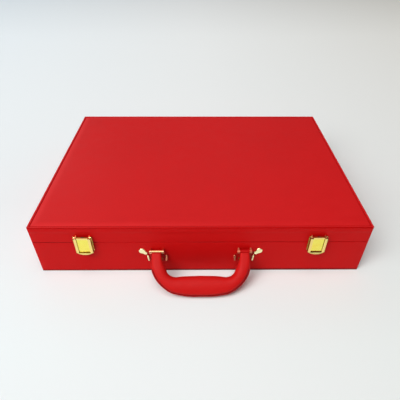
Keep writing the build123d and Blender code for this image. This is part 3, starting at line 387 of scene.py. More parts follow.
# near-black red: painted shade for the handle's seam groove
mat_seam_painted_shade = plain("seam_painted_shade", (0.17, 0.0012, 0.0014), (0.11, 0.0008, 0.0010), 1500.0, (0.55, 0.75), spec=0.08)
mat_steel = metal("spring_steel", (0.60, 0.60, 0.61), (0.45, 0.45, 0.46), rough=(0.25, 0.4))
# the latch springs are simply dark
mat_dark_spring = metal("dark_spring", (0.10, 0.09, 0.09), (0.05, 0.04, 0.05), rough=(0.3, 0.45))
mat_velvet = velvet("velvet", (0.20, 0.010, 0.018), (0.085, 0.004, 0.008))
mat_stitch = plain("stitch_thread", (0.30, 0.016, 0.022), (0.16, 0.008, 0.012), 1500.0, (0.6, 0.8))
mat_board = plain("fibreboard", (0.42, 0.29, 0.18), (0.27, 0.17, 0.10), 400.0, (0.8, 0.95))
mat_foam = plain("foam", (0.78, 0.74, 0.62), (0.60, 0.55, 0.43), 900.0, (0.9, 1.0))


def set_material(o, m):
    if not o.material_slots:
        o.data.materials.append(m)
    for s in o.material_slots:
        s.material = m


for n, o in NODES.items():
    if "board" in n:
        set_material(o, mat_board)
    elif n in ("base_wall_lining", "lid_wall_lining", "base_floor_pad", "lid_pad") or n.startswith("divider"):
        set_material(o, mat_velvet)
    elif n == "handle_padding":
        set_material(o, mat_foam)
    elif "leather" in n:
        set_material(o, mat_side)
    elif n.startswith("latch_spring"):
        set_material(o, mat_dark_spring)
    elif "clip" in n or n == "handle_core":
        set_material(o, mat_steel)
    elif n.startswith("latch_flap"):
        set_material(o, mat_flap)
    elif n.startswith("latch_plate"):
        set_material(o, mat_plate)
    elif n.startswith("latch_pin") or n == "handle_bracket_screws":
        set_material(o, mat_bronze)
    elif n.startswith("handle_lug"):
        set_material(o, mat_bar_painted_reflection)
    elif n.startswith("handle_"):
        set_material(o, mat_pale_painted_highlight)
    else:
        set_material(o, mat_gold)


# ------------------------------------------------------------------ mesh helpers
def make(name, verts, faces, material, smooth=True):
    """A mesh object from millimetre coordinates in the shared frame."""
    me = bpy.data.meshes.new(name)
    me.from_pydata([(x * MM, y * MM, z * MM) for x, y, z in verts], [], faces)
    me.materials.append(material)
    me.validate()
    bm = bmesh.new()
    bm.from_mesh(me)
    bmesh.ops.recalc_face_normals(bm, faces=bm.faces)
    bm.to_mesh(me)
    bm.free()
    if smooth:
        me.polygons.foreach_set("use_smooth", [True] * len(me.polygons))
    me.update()
    o = bpy.data.objects.new(name, me)
    scene.collection.objects.link(o)
    return o


def smooth_by_angle(o, degrees):
    o.data.set_sharp_from_angle(angle=math.radians(degrees))


def loop(hx, hy, r, nc=6, nx=60, ny=44):
    """Points round a rounded rectangle, anticlockwise, always the same number of them."""
    pts = []
    corners = [(hx - r, hy - r, 0), (-hx + r, hy - r, 90), (-hx + r, -hy + r, 180), (hx - r, -hy + r, 270)]
    counts = [nx, ny, nx, ny]
    for k, (cx, cy, a0) in enumerate(corners):
        arc = [
            (cx + r * math.cos(math.radians(a0 + 90 * i / nc)), cy + r * math.sin(math.radians(a0 + 90 * i / nc)))
            for i in range(nc + 1)
        ]
        pts += arc
        nxt = corners[(k + 1) % 4]
        start = arc[-1]
        a1 = math.radians(nxt[2])
        end = (nxt[0] + r * math.cos(a1), nxt[1] + r * math.sin(a1))
        n = counts[k]
        pts += [
            (start[0] + (end[0] - start[0]) * i / n, start[1] + (end[1] - start[1]) * i / n) for i in range(1, n)
        ]
    return pts


def wave(x, y, z, amount, size):
    return amount * noise.noise(Vector((x / size, y / size, z / size)))


def ring(name, profile, material, hx=SX, hy=SY, r=CORNER, closed=True, wavy=0.0, cap=None, nc=6):
    """Sweeps a section of (outward offset, height) points round the case's plan."""
    verts, faces = [], []
    n = 0
    for o, z in profile:
        pts = loop(hx + o, hy + o, max(r + o, 0.25), nc=nc)
        n = len(pts)
        for x, y in pts:
            if wavy:
                k = wave(x, y, z, wavy, 34.0)
                ax, ay = abs(x) - (hx - 8), abs(y) - (hy - 8)
                if ax > ay:
                    x += math.copysign(k, x) * min(1, max(0, (hy - abs(y)) / 12))
                else:
                    y += math.copysign(k, y) * min(1, max(0, (hx - abs(x)) / 12))
            verts.append((x, y, z))
    m = len(profile)
    for i in range(m if closed else m - 1):
        j = (i + 1) % m
        for k in range(n):
            q = (k + 1) % n
            faces.append((i * n + k, i * n + q, j * n + q, j * n + k))
    if cap is not None:
        for i in cap:
            idx = [(i % m) * n + k for k in range(n)]
            faces.append(idx)
    return make(name, verts, faces, material)


def arc(cx, cz, r, a0, a1, n):
    return [
        (cx + r * math.cos(math.radians(a0 + (a1 - a0) * i / n)), cz + r * math.sin(math.radians(a0 + (a1 - a0) * i / n)))
        for i in range(n + 1)
    ]


# ------------------------------------------------------------------ lid, outside
# The top sheet: rounded edge, a stitched line just inside it and a very slightly
# padded field. Offsets are measured outwards from the side leather's face.
E = RIM
top_profile = (
    [(-150.0, H - 0.95), (-60.0, H - 0.95), (-12.0, H - 0.95), (-0.9, H - 0.95)]
    + [(-0.9, H - RIM_H + 0.02), (E - 0.15, H - RIM_H), (E, H - RIM_H + 0.15), (E, H - 1.45), (E - 0.05, H - 1.30)]
    + [(E - 0.48, H - 1.16), (E - 0.62, H - 0.84), (E - 0.52, H - 0.60), (E - 0.10, H - 0.48)]
    + arc(E - 0.36, H - 0.36, 0.36, -20, 90, 8)
    + [
        (E - 0.9, H),
        (E - 1.7, H),
        (E - 2.2, H - 0.03),
        (E - 2.6, H - 0.16),
        (E - 2.85, H - 0.46),
        (E - 3.1, H - 0.76),
        (E - 3.5, H - 0.76),
        (E - 3.7, H - 0.50),
        (E - 4.0, H - 0.40),
        (E - 4.8, H - 0.36),
        (E - 6.8, H - 0.27),
        (E - 8.8, H - 0.15),
        (E - 10.8, H - 0.06),
        (E - 13.0, H - 0.01),
        (E - 16.0, H),
        (E - 30.0, H),
        (E - 60.0, H),
        (E - 100.0, H),
        (E - 150.0, H),
    ]
)
lid_top = ring("lid_top_cover", top_profile, mat_top_painted_sheen, closed=False, cap=[0, len(top_profile) - 1])
lid_top.data.materials.append(mat_rim)
lid_top.data.materials.append(mat_crease)
lid_top.data.materials.append(mat_groove)
for face in lid_top.data.polygons:
    depth_mm = H - face.center.z / MM
    out_mm = max(abs(face.center.x) / MM - SX, abs(face.center.y) / MM - SY)
    if out_mm > E - 0.36 and 0.005 < depth_mm < 0.5:
        face.material_index = 2
    elif out_mm > E - 0.95:
        face.material_index = 1
    elif E - 3.95 < out_mm < E - 2.6 and depth_mm > 0.28:
        face.material_index = 3
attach(lid_top, "lid")
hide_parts("lid_top_leather")


def path_stitches(name, pts, closed, pitch, length, radius, z_of, material, dip=0.25, seg=6):
    """A row of thread stitches along a path in the XY plane."""
    d = [0.0]
    m = len(pts)
    for i in range(m if closed else m - 1):
        a, b = pts[i], pts[(i + 1) % m]
        d.append(d[-1] + math.hypot(b[0] - a[0], b[1] - a[1]))
    total = d[-1]
    count = int(round(total / pitch))

    def at(s):
        s %= total
        for i in range(len(d) - 1):
            if d[i + 1] >= s:
                a, b = pts[i], pts[(i + 1) % m]
                t = (s - d[i]) / max(d[i + 1] - d[i], 1e-9)
                return Vector((a[0] + (b[0] - a[0]) * t, a[1] + (b[1] - a[1]) * t, 0))
        return Vector((*pts[0], 0))

    verts, faces = [], []
    for c in range(count):
        s0 = total * c / count
        rows = 5
        first = len(verts)
        for i in range(rows):
            t = i / (rows - 1)
            p = at(s0 + length * t)
            q = at(s0 + length * t + 0.2)
            along = (q - p).normalized()
            side = Vector((-along.y, along.x, 0))
            lift = math.sin(math.pi * t) * dip * 2 - dip
            rr = radius * (0.55 + 0.45 * math.sin(math.pi * t))
            for k in range(seg):
                a = 2 * math.pi * k / seg
                v = p + side * (rr * math.cos(a))
                verts.append((v.x, v.y, z_of + lift * 0.6 + rr * math.sin(a)))
        for i in range(rows - 1):
            for k in range(seg):
                q = (k + 1) % seg
                faces.append((first + i * seg + k, first + i * seg + q, first + (i + 1) * seg + q, first + (i + 1) * seg + k))
        faces.append(tuple(first + k for k in range(seg)))
        faces.append(tuple(first + (rows - 1) * seg + k for k in range(seg)))
    return make(name, verts, faces, material)


stitch_loop = loop(SX + E - 3.3, SY + E - 3.3, 1.6, nc=4, nx=2, ny=2)
top_stitch = path_stitches("lid_top_stitching", stitch_loop, True, 4.0, 3.0, 0.25, H - 0.60, mat_stitch_red, dip=0.15)
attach(top_stitch, "lid")

# The lid's sides: the top leather is folded down over them and ends in a faint
# step, and the bottom edge is turned under over the walls.
F = 74.7
side_profile = (
    [(-1.0, H - RIM_H - 0.2), (0.0, H - RIM_H - 0.02), (0.06, H - RIM_H - 0.4), (0.06, F + 0.25), (0.04, F + 0.06), (0.0, F - 0.08)]
    + [(0.0, F - 4.0), (0.0, 66.0), (0.0, 62.0), (0.0, LID_EDGE + 0.8)]
    + arc(-0.6, LID_EDGE + 0.6, 0.6, 0, -90, 5)
    + [(-4.0, LID_EDGE)]
    + arc(-7.1, LID_EDGE + 0.9, 0.9, -90, -180, 5)
    + [(-8.0, 62.0), (-8.0, 66.0), (-7.02, 66.0), (-7.02, LID_EDGE + 1.02), (-1.02, LID_EDGE + 1.02), (-1.02, 70.0)]
)
lid_side = ring("lid_side_cover", side_profile, mat_side, wavy=0.06)
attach(lid_side, "lid")
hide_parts("lid_side_leather")

# ------------------------------------------------------------------ base, outside
base_profile = (
    [(-1.02, 50.0), (-1.02, SEAM - 1.02), (-7.02, SEAM - 1.02), (-7.02, 47.0), (-8.0, 47.0), (-8.0, 52.0)]
    + arc(-7.1, SEAM - 0.9, 0.9, 180, 90, 5)
    + [(-4.0, SEAM)]
    + arc(-0.6, SEAM - 0.6, 0.6, 90, 0, 5)
    + [(0.0, SEAM - 2.0), (0.0, 45.0), (0.0, 30.0), (0.0, 15.0), (0.0, 5.0), (0.0, 1.5)]
    + arc(-0.6, 0.6, 0.6, 0, -90, 5)
    + [(-3.0, 0.0), (-3.0, 0.8), (-1.02, 1.0)]
)
base_side = ring("base_side_cover", base_profile, mat_side, wavy=0.06)
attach(base_side, "base")
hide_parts("base_side_leather")

# the bottom sheet lies over the turned-under edges of the sides
bottom_profile = [(-150.0, 0.9), (-40.0, 0.9), (-3.05, 0.9)] + arc(-3.35, 0.3, 0.3, 0, -90, 3) + [(-8.0, 0.02), (-40.0, 0.0), (-100.0, 0.0), (-150.0, 0.0)]
bottom = ring("base_bottom_cover", bottom_profile, mat_side, closed=False, cap=[0, len(bottom_profile) - 1])
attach(bottom, "base")
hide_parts("base_bottom_leather")

# ------------------------------------------------------------------ handle
REST = math.radians(43.1)
PIN = Vector((0, -SY - 4.5, 43.0))
HU = Vector((1, 0, 0))
HV = Vector((0, -math.cos(REST), -math.sin(REST)))
HN = Vector((0, math.sin(REST), -math.cos(REST)))  # towards the case and the floor


def hp(u, v, n=0.0):
    return PIN + HU * u + HV * v + HN * n


HALF = [
    (59.3, 3.2, 6.4, 2.7),
    (59.0, 9.0, 7.1, 4.5),
    (58.5, 15.0, 8.1, 5.7),
    (57.2, 21.0, 9.0, 7.0),
    (55.0, 26.8, 9.4, 8.0),
    (51.5, 33.4, 9.1, 8.7),
    (45.4, 39.4, 9.5, 9.1),
    (36.4, 43.95, 11.1, 9.25),
    (22.2, 45.35, 13.2, 9.4),
]
STATIONS = HALF + [(0.0, 45.55, 13.9, 9.5)] + [(-u, v, a, b) for u, v, a, b in reversed(HALF)]


def spline(rows, steps):
    """Catmull-Rom through the rows, with the spacing of the points taken into account."""
    rows = [rows[0]] + rows + [rows[-1]]
    out = []
    for i in range(1, len(rows) - 2):
        p0, p1, p2, p3 = rows[i - 1 : i + 3]
        d1 = max(math.hypot(p2[0] - p1[0], p2[1] - p1[1]), 1e-6)
        d0 = math.hypot(p1[0] - p0[0], p1[1] - p0[1]) or d1
        d2 = math.hypot(p3[0] - p2[0], p3[1] - p2[1]) or d1
        m1 = [((b - a) / d0 * d1 + (c - b) / d1 * d0) / (d0 + d1) * d1 if i > 1 else (c - b) for a, b, c in zip(p0, p1, p2)]
        m2 = [((b - a) / d1 * d2 + (c - b) / d2 * d1) / (d1 + d2) * d1 if i < len(rows) - 3 else (b - a) for a, b, c in zip(p1, p2, p3)]
        for k in range(steps):
            t = k / steps
            h = (2 * t**3 - 3 * t**2 + 1, t**3 - 2 * t**2 + t, -2 * t**3 + 3 * t**2, t**3 - t**2)
            out.append([h[0] * a + h[1] * b + h[2] * c + h[3] * d for a, b, c, d in zip(p1, m1, p2, m2)])
    out.append(list(rows[-2]))
    return out


path = spline([list(s) for s in STATIONS], 8)


def frames(path):
    got = []
    for i, (u, v, a, b) in enumerate(path):
        p, q = path[max(i - 1, 0)], path[min(i + 1, len(path) - 1)]
        du, dv = q[0] - p[0], q[1] - p[1]
        if i == 0:
            du, dv = 0.0, 1.0
        if i == len(path) - 1:
            du, dv = 0.0, -1.0
        n = math.hypot(du, dv)
        du, dv = du / n, dv / n
        # 'out' points to the outside of the bow
        out = (dv, -du)
        got.append((u, v, a, b, (du, dv), out))
    return got


HF = frames(path)
NS = 96
WELT, GROOVE, ROW = 0.85, 2.15, 3.9  # distances in from the bow's outer outline, mm


def squareness(i):
    """The straps are flatter than the grip."""
    t = min(1.0, max(0.0, (HF[i][1] - 9.0) / 20.0))
    return 0.66 + 0.26 * t * t * (3 - 2 * t)


def welted(i):
    t = min(1.0, max(0.0, (HF[i][1] - 16.0) / 10.0))
    return t * t * (3 - 2 * t)


LOWER = [i for i in range(len(HF)) if HF[i][1] > 20.5]


def inset(i, d):
    """The angle on the visible side that lies d mm in from the outer outline at station i."""
    a = HF[i][2]
    return -math.acos(max(-1.0, 1 - d / a))


verts, faces = [], []
for i, (u, v, a, b, t, out) in enumerate(HF):
    for k in range(NS):
        w = 2 * math.pi * k / NS
        c, s = math.cos(w), math.sin(w)
        # a slightly squarer oval than an ellipse, with a raised seam on the outside of the bow
        e = squareness(i)
        cc = math.copysign(abs(c) ** e, c)
        ss = math.copysign(abs(s) ** e, s)
        ra = a * cc
        rb = b * ss
        along_i = i / (len(HF) - 1)
        # small creases on the inside of the bends
        crease = 0.0
        if c < 0.2:
            bend = abs(abs(u) - 44.0)
            if bend < 13:
                crease = -0.16 * (1 - bend / 13) * (0.5 + 0.5 * math.sin((u * 1.0 + v) * 1.35)) * (0.2 - c) / 1.2
        wob = wave(u + ra, v + rb, s * 3, 0.12, 9.0)
        d_in = a * (1 - c)
        seam = 0.0
        if s < 0 and 2 < i < len(HF) - 3:
            seam = -0.45 * math.exp(-(((d_in - GROOVE) / 0.7) ** 2)) * welted(i)
        elif s >= 0 and c > 0.9 and 2 < i < len(HF) - 3:
            seam = -0.3 * (c - 0.9) / 0.1 * welted(i)
        f = 1 + (crease + wob + seam - 0.3) / max(a, b)
        p = hp(u + out[0] * ra * f, v + out[1] * ra * f, rb * f)
        verts.append(tuple(p))
for i in range(len(HF) - 1):
    for k in range(NS):
        q = (k + 1) % NS
        faces.append((i * NS + k, i * NS + q, (i + 1) * NS + q, (i + 1) * NS + k))
# rounded closed ends
for end in (0, len(HF) - 1):
    u, v, a, b, t, out = HF[end]
    base = end * NS
    prev = [base + k for k in range(NS)]
    for step, (shrink, push) in enumerate(((0.97, 0.7), (0.9, 1.1), (0.55, 1.35))):
        row = []
        for k in range(NS):
            w = 2 * math.pi * k / NS
            cc = math.copysign(abs(math.cos(w)) ** squareness(end), math.cos(w))
            ss = math.copysign(abs(math.sin(w)) ** squareness(end), math.sin(w))
            p = hp(u + out[0] * a * cc * shrink, v - push + out[1] * a * cc * shrink, b * ss * shrink)
            row.append(len(verts))
            verts.append(tuple(p))
        for k in range(NS):
            q = (k + 1) % NS
            faces.append((prev[k], prev[q], row[q], row[k]))
        prev = row
    faces.append(tuple(prev))
handle = make("handle_cover", verts, faces, mat_handle)
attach(handle, "handle")
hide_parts("handle_leather")


def tube(name, centres, radius, material, seg=8, taper=True):
    """A round cord of leather or thread along a list of points, mm."""
    verts, faces = [], []
    n = len(centres)
    prev_side = None
    for i, c in enumerate(centres):
        t = (centres[min(i + 1, n - 1)] - centres[max(i - 1, 0)]).normalized()
        ref = HN if abs(t.dot(HN)) < 0.9 else HU
        side = t.cross(ref).normalized()
        if prev_side is not None and side.dot(prev_side) < 0:
            side = -side
        prev_side = side
        up2 = t.cross(side).normalized()
        r = radius * (0.35 if taper and i in (0, n - 1) else 1.0)
        for k in range(seg):
            w = 2 * math.pi * k / seg
            verts.append(tuple(c + side * r * math.cos(w) + up2 * r * math.sin(w)))
    for i in range(n - 1):
        for k in range(seg):
            q = (k + 1) % seg
            faces.append((i * seg + k, i * seg + q, (i + 1) * seg + q, (i + 1) * seg + k))
    faces.append(tuple(range(seg)))
    faces.append(tuple((n - 1) * seg + k for k in range(seg)))
    return make(name, verts, faces, material)


def on_handle(i, w, lift=0.0):
    """A point on the handle's surface at station i and angle w round the section."""
    u, v, a, b, t, out = HF[i]
    c, s = math.cos(w), math.sin(w)
    cc = math.copysign(abs(c) ** squareness(i), c) * (a + lift)
    ss = math.copysign(abs(s) ** squareness(i), s) * (b + lift)
    return hp(u + out[0] * cc, v + out[1] * cc, ss)


# welt along the outside of the bow, where the two edges of the leather meet
welt = tube("handle_welt", [on_handle(i, inset(i, WELT), -0.72 * abs(HF[i][5][1])) for i in LOWER], 0.82, mat_welt, seg=12)
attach(welt, "handle")

# a dark cord in the seam's groove: painted shade along the seam
seam_line = tube("handle_seam", [on_handle(i, inset(i, GROOVE), -0.52) for i in LOWER], 0.48, mat_seam_painted_shade)
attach(seam_line, "handle")

# stitches beside the welt
sv, sf = [], []
stitch_pts = [on_handle(i, inset(i, ROW), -0.22) for i in LOWER]
dist = [0.0]
for p, q in zip(stitch_pts, stitch_pts[1:]):
    dist.append(dist[-1] + (q - p).length)


def along(points, dist, s):
    for i in range(len(dist) - 1):
        if dist[i + 1] >= s:
            t = (s - dist[i]) / max(dist[i + 1] - dist[i], 1e-9)
            return points[i].lerp(points[i + 1], t)
    return points[-1].copy()


count = int(dist[-1] / 3.6)
for c in range(count):
    s0 = c * 3.6
    pts = [along(stitch_pts, dist, s0 + 2.7 * k / 4) for k in range(5)]
    t = (pts[-1] - pts[0]).normalized()
    side = t.cross(HN).normalized()
    up2 = t.cross(side)
    first = len(sv)
    for k, p in enumerate(pts):
        r = 0.26 * (0.5 + 0.5 * math.sin(math.pi * k / 4))
        for j in range(6):
            w = 2 * math.pi * j / 6
            sv.append(tuple(p + side * r * math.cos(w) + up2 * r * math.sin(w)))
    for k in range(4):
        for j in range(6):
            q = (j + 1) % 6
            sf.append((first + k * 6 + j, first + k * 6 + q, first + (k + 1) * 6 + q, first + (k + 1) * 6 + j))
    sf.append(tuple(first + j for j in range(6)))
    sf.append(tuple(first + 24 + j for j in range(6)))
hst = make("handle_stitching", sv, sf, mat_thread)
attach(hst, "handle")

# the leather runs on round the barrels: nearly all the way round on the right, just under it on the left
def wrap_tab(name, cx, half, a0, a1, rows=15, cols=8):
    """A curved strip of leather, 0.34 mm thick, over part of a barrel. Angle 0 points along the handle, 90 away from the case."""
    v, f = [], []
    for i in range(cols + 1):
        x = cx - half + 2 * half * i / cols
        for k in range(rows):
            w = math.radians(a0 + (a1 - a0) * k / (rows - 1))
            d = HV * math.cos(w) - HN * math.sin(w)
            soft = 0.12 * math.sin(math.pi * i / cols)
            for r in (2.24, 2.46 + soft):
                v.append(tuple(PIN + HU * x + d * r))
    at = lambda i, k, r: (i * rows + k) * 2 + r
    for i in range(cols):
        for k in range(rows - 1):
            f.append((at(i, k, 1), at(i + 1, k, 1), at(i + 1, k + 1, 1), at(i, k + 1, 1)))
            f.append((at(i, k, 0), at(i, k + 1, 0), at(i + 1, k + 1, 0), at(i + 1, k, 0)))
    for k in range(rows - 1):
        f.append((at(0, k, 0), at(0, k, 1), at(0, k + 1, 1), at(0, k + 1, 0)))
        f.append((at(cols, k, 0), at(cols, k + 1, 0), at(cols, k + 1, 1), at(cols, k, 1)))
    for i in range(cols):
        f.append((at(i, 0, 0), at(i + 1, 0, 0), at(i + 1, 0, 1), at(i, 0, 1)))
        f.append((at(i, rows - 1, 0), at(i, rows - 1, 1), at(i + 1, rows - 1, 1), at(i + 1, rows - 1, 0)))
    o = make(name, v, f, mat_tab_painted_shade)
    smooth_by_angle(o, 40)
    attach(o, "handle")
    return o


wrap_tab("handle_tab_right", 59.2, 6.7, -60, 240)
wrap_tab("handle_tab_left", -59.2, 6.3, -60, 66, rows=9)

# ------------------------------------------------------------------ inside: velvet
def velvet_piece(o, body, slot, *nodes):
    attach(o, body)
    if nodes:
        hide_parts(*nodes)


def rope_profile(c, z, r, n=10):
    return [(c + r * math.cos(2 * math.pi * k / n), z + r * math.sin(2 * math.pi * k / n)) for k in range(n)]


# wall linings: velvet over card, rounded over at the free edge
base_lining = ring(
    "base_lining",
    [(-7.04, 5.0), (-7.04, 46.7), (-8.04, 46.9), (-8.04, 53.0), (-8.2, 53.35), (-8.5, 53.48), (-8.8, 53.5), (-9.15, 53.4), (-9.4, 53.1)]
    + [(-9.47, 52.6), (-9.5, 50.0), (-9.46, 44.0), (-9.5, 38.0), (-9.47, 30.0), (-9.5, 22.0), (-9.47, 14.0), (-9.5, 9.0), (-9.5, 5.0)],
    mat_velvet,
    wavy=0.10,
)
velvet_piece(base_lining, "base", "velvet", "base_wall_lining")
base_cord = ring("base_lining_cord", rope_profile(-8.95, 52.85, 0.72), mat_velvet, nc=3)
velvet_piece(base_cord, "base", "velvet")
lid_lining = ring(
    "lid_lining",
    [(-7.04, 77.7), (-7.04, 66.1), (-8.04, 66.0), (-8.04, 59.8), (-8.2, 59.45), (-8.5, 59.32), (-8.8, 59.3), (-9.15, 59.4), (-9.4, 59.7)]
    + [(-9.47, 60.2), (-9.5, 62.0), (-9.46, 66.0), (-9.5, 70.0), (-9.48, 74.0), (-9.5, 77.7)],
    mat_velvet,
    wavy=0.10,
)
velvet_piece(lid_lining, "lid", "velvet", "lid_wall_lining")
lid_cord = ring("lid_lining_cord", rope_profile(-8.95, 59.95, 0.65), mat_velvet, nc=3)
velvet_piece(lid_cord, "lid", "velvet")


def partition(name, node, runs, z0=7.3, z1=51.0, t=4.0):
    """Card partitions wrapped in velvet: rounded top, faces never quite flat. runs are ((x, y), (x, y)) centre lines."""
    v, f = [], []
    section = [(-t / 2, z0), (-t / 2, 12.0), (-t / 2, 20.0), (-t / 2, 30.0), (-t / 2, 40.0), (-t / 2, z1 - t / 2 - 1)]
    section += [(t / 2 * math.cos(math.radians(a)), z1 - t / 2 + t / 2 * math.sin(math.radians(a))) for a in range(180, -1, -20)]
    section += [(t / 2, z1 - t / 2 - 1), (t / 2, 40.0), (t / 2, 30.0), (t / 2, 20.0), (t / 2, 12.0), (t / 2, z0)]
    m = len(section)
    for (x0, y0), (x1, y1) in runs:
        length = math.hypot(x1 - x0, y1 - y0)
        tx, ty = (x1 - x0) / length, (y1 - y0) / length
        n = max(2, round(length / 5.0))
        first = len(v)
        for i in range(n + 1):
            cx, cy = x0 + tx * length * i / n, y0 + ty * length * i / n
            for c, z in section:
                k = wave(cx + c * 3, cy + c * 3, z, 0.14, 23.0)
                inside = min(1.0, i / 2, (n - i) / 2)
                cc = c * (1 - 0.035 * (1 - abs(2 * (z - z0) / (z1 - z0) - 1))) + k * inside
                cc = max(-t / 2, min(t / 2, cc))
                v.append((cx - ty * cc, cy + tx * cc, z + (0.12 * wave(cx, cy, 7.0, 1.0, 40.0) - 0.12 if z > z1 - 2.2 else 0)))
        for i in range(n):
            for k in range(m):
                q = (k + 1) % m
                f.append((first + i * m + k, first + i * m + q, first + (i + 1) * m + q, first + (i + 1) * m + k))
        f.append(tuple(first + k for k in range(m)))
        f.append(tuple(first + n * m + k for k in range(m)))
    o = make(name, v, f, mat_velvet)
    smooth_by_angle(o, 50)
    velvet_piece(o, "base", "velvet", node)
    return o


partition("column_partition", "divider_column", [((154.2, -NY), (154.2, NY))])
partition("trough_partition", "divider_trough", [((-NX, 98.7), (152.2, 98.7))])
partition("rows_partition", "divider_rows", [((-NX, -26.8), (152.2, -26.8))])
partition("bay_partitions", "divider_bays", [((-31.3, -NY), (-31.3, -28.8)), ((-31.3, -24.8), (-31.3, 96.7))])
partition("accessory_partitions", "divider_accessories", [((156.2, -50.0), (NX, -50.0)), ((156.2, 50.0), (NX, 50.0))])

# the cells of the base, for the floor pad: each is a little crowned between its partitions
CELLS = [
    (-NX, -33.3, -NY, -28.8), (-29.3, 152.2, -NY, -28.8), (-NX, -33.3, -24.8, 96.7), (-29.3, 152.2, -24.8, 96.7),
    (-NX, 152.2, 100.7, NY), (156.2, NX, -NY, -52.0), (156.2, NX, -48.0, 48.0), (156.2, NX, 52.0, NY),
]


def floor_height(x, y):
    for x0, x1, y0, y1 in CELLS:
        if x0 <= x <= x1 and y0 <= y <= y1:
            d = min(x - x0, x1 - x, y - y0, y1 - y)
            return 8.0 - 0.55 * math.exp(-d / 3.5) + wave(x, y, 3.0, 0.10, 16.0) - 0.1
    return 7.4


gx, gy = [], []
for edges, out in (((-NX, -33.3, -29.3, 152.2, 156.2, NX), gx), ((-NY, -52.0, -48.0, -28.8, -24.8, 48.0, 52.0, 96.7, 100.7, NY), gy)):
    for a, b in zip(edges, edges[1:]):
        n = max(1, round((b - a) / 5.0))
        span = [a + (b - a) * i / n for i in range(n)]
        if n > 4:
            span[1:1] = [a + 1.2, a + 2.8]
            span += [b - 2.8, b - 1.2]
        out += span
    out.append(edges[-1])
gx, gy = sorted(set(gx)), sorted(set(gy))
verts = [(x, y, floor_height(x, y)) for y in gy for x in gx]
ncol = len(gx)
faces = [(r * ncol + c, r * ncol + c + 1, (r + 1) * ncol + c + 1, (r + 1) * ncol + c) for r in range(len(gy) - 1) for c in range(ncol - 1)]
rim_ids = [c for c in range(ncol)] + [r * ncol + ncol - 1 for r in range(1, len(gy))]
rim_ids += [(len(gy) - 1) * ncol + c for c in range(ncol - 2, -1, -1)] + [r * ncol for r in range(len(gy) - 2, 0, -1)]
low = []
for k in rim_ids:
    low.append(len(verts))
    verts.append((verts[k][0], verts[k][1], 5.0))
for k in range(len(rim_ids)):
    q = (k + 1) % len(rim_ids)
    faces.append((rim_ids[k], low[k], low[q], rim_ids[q]))
faces.append(tuple(low))
floor_pad = make("floor_pad", verts, faces, mat_velvet)
velvet_piece(floor_pad, "base", "velvet", "base_floor_pad")

# ------------------------------------------------------------------ lid cushion
# A foam cushion in velvet, glued up inside the lid and sewn through near its edge.
PX, PY, PAD_LOW, PAD_HIGH = NX - 0.6, NY - 0.6, 66.5, 77.7
CHANNEL = 26.0  # the sewn line, in from the cushion's edge


def cushion_start():
    pts = loop(PX - 1.2, PY - 1.2, 3.0, nc=4, nx=36, ny=26)
    n = len(pts)
    v, f = [], []
    rows = [(0.0, PAD_HIGH), (0.0, PAD_HIGH - 3.5), (0.0, PAD_LOW + 3.2), (1.6, PAD_LOW + 2.0)]
    for inward, z in rows:
        for x, y in pts:
            v.append((x - math.copysign(min(inward, abs(x)), x), y - math.copysign(min(inward, abs(y)), y), z))
    for i in range(len(rows) - 1):
        for k in range(n):
            q = (k + 1) % n
            f.append((i * n + k, i * n + q, (i + 1) * n + q, (i + 1) * n + k))
    f.append(tuple(range(n)))
    f.append(tuple((len(rows) - 1) * n + k for k in range(n)))
    return make("lid_cushion", v, f, mat_velvet)


cushion = cushion_start()
remesh = cushion.modifiers.new("remesh", "REMESH")
remesh.mode = "VOXEL"
remesh.voxel_size = 0.0052


def bake_modifiers(o):
    """Swap the object's mesh for what its modifiers make of it, and drop them."""
    deps = bpy.context.evaluated_depsgraph_get()
    deps.update()
    me = bpy.data.meshes.new_from_object(o.evaluated_get(deps), depsgraph=deps)
    o.modifiers.clear()
    o.data = me


bake_modifiers(cushion)
start = [v.co.copy() for v in cushion.data.vertices]
glued = cushion.vertex_groups.new(name="glued")
glued.add([i for i, c in enumerate(start) if c.z > (PAD_HIGH - 2.5) * MM], 1.0, "REPLACE")
cloth = cushion.modifiers.new("cloth", "CLOTH")
st = cloth.settings
st.quality = 5
st.mass = 0.15
st.tension_stiffness = 12.0
st.compression_stiffness = 12.0
st.shear_stiffness = 6.0
st.bending_stiffness = 0.6
st.use_pressure = True
st.uniform_pressure_force = 4.0
st.vertex_group_mass = "glued"
st.effector_weights.gravity = 0.0
cloth.point_cache.frame_start, cloth.point_cache.frame_end = 1, 20
for fr in range(1, 21):
    scene.frame_set(fr)
bake_modifiers(cushion)
scene.frame_set(1)
cushion.vertex_groups.clear()


def cap_and_sew(o, start):
    """Limits how far the cushion swelled, keeps it in its space and pulls it in along the sewn line."""
    for v, s0 in zip(o.data.vertices, start):
        d = v.co - s0
        if d.length > 0.0022:
            d *= 0.0022 / d.length
        p = (s0 + d) / MM
        x, y, z = p.x, p.y, p.z
        inx, iny = PX - abs(x), PY - abs(y)
        inner = min(inx, iny)
        if z < PAD_LOW + 6.0:
            sewn = math.exp(-(((inner - CHANNEL) / 2.6) ** 2))
            z += 2.1 * sewn
            # the filling sinks a little away from the sewn line and the edge
            z -= 0.5 * (1 - math.exp(-abs(inner - CHANNEL) / 14.0)) * min(1.0, inner / 12.0)
            z += wave(x, y, 5.0, 0.28, 26.0) + wave(x, y, 11.0, 0.14, 9.0)
            pull = math.exp(-(((inner - CHANNEL) / 9.0) ** 2))
            run = y if inx < iny else x
            z += 0.22 * pull * math.sin(run * 0.62 + 1.7 * noise.noise(Vector((x / 40, y / 40, 0))))
        z = min(max(z, PAD_LOW), PAD_HIGH)
        x = max(-PX, min(PX, x))
        y = max(-PY, min(PY, y))
        v.co = Vector((x, y, z)) * MM
    o.data.update()


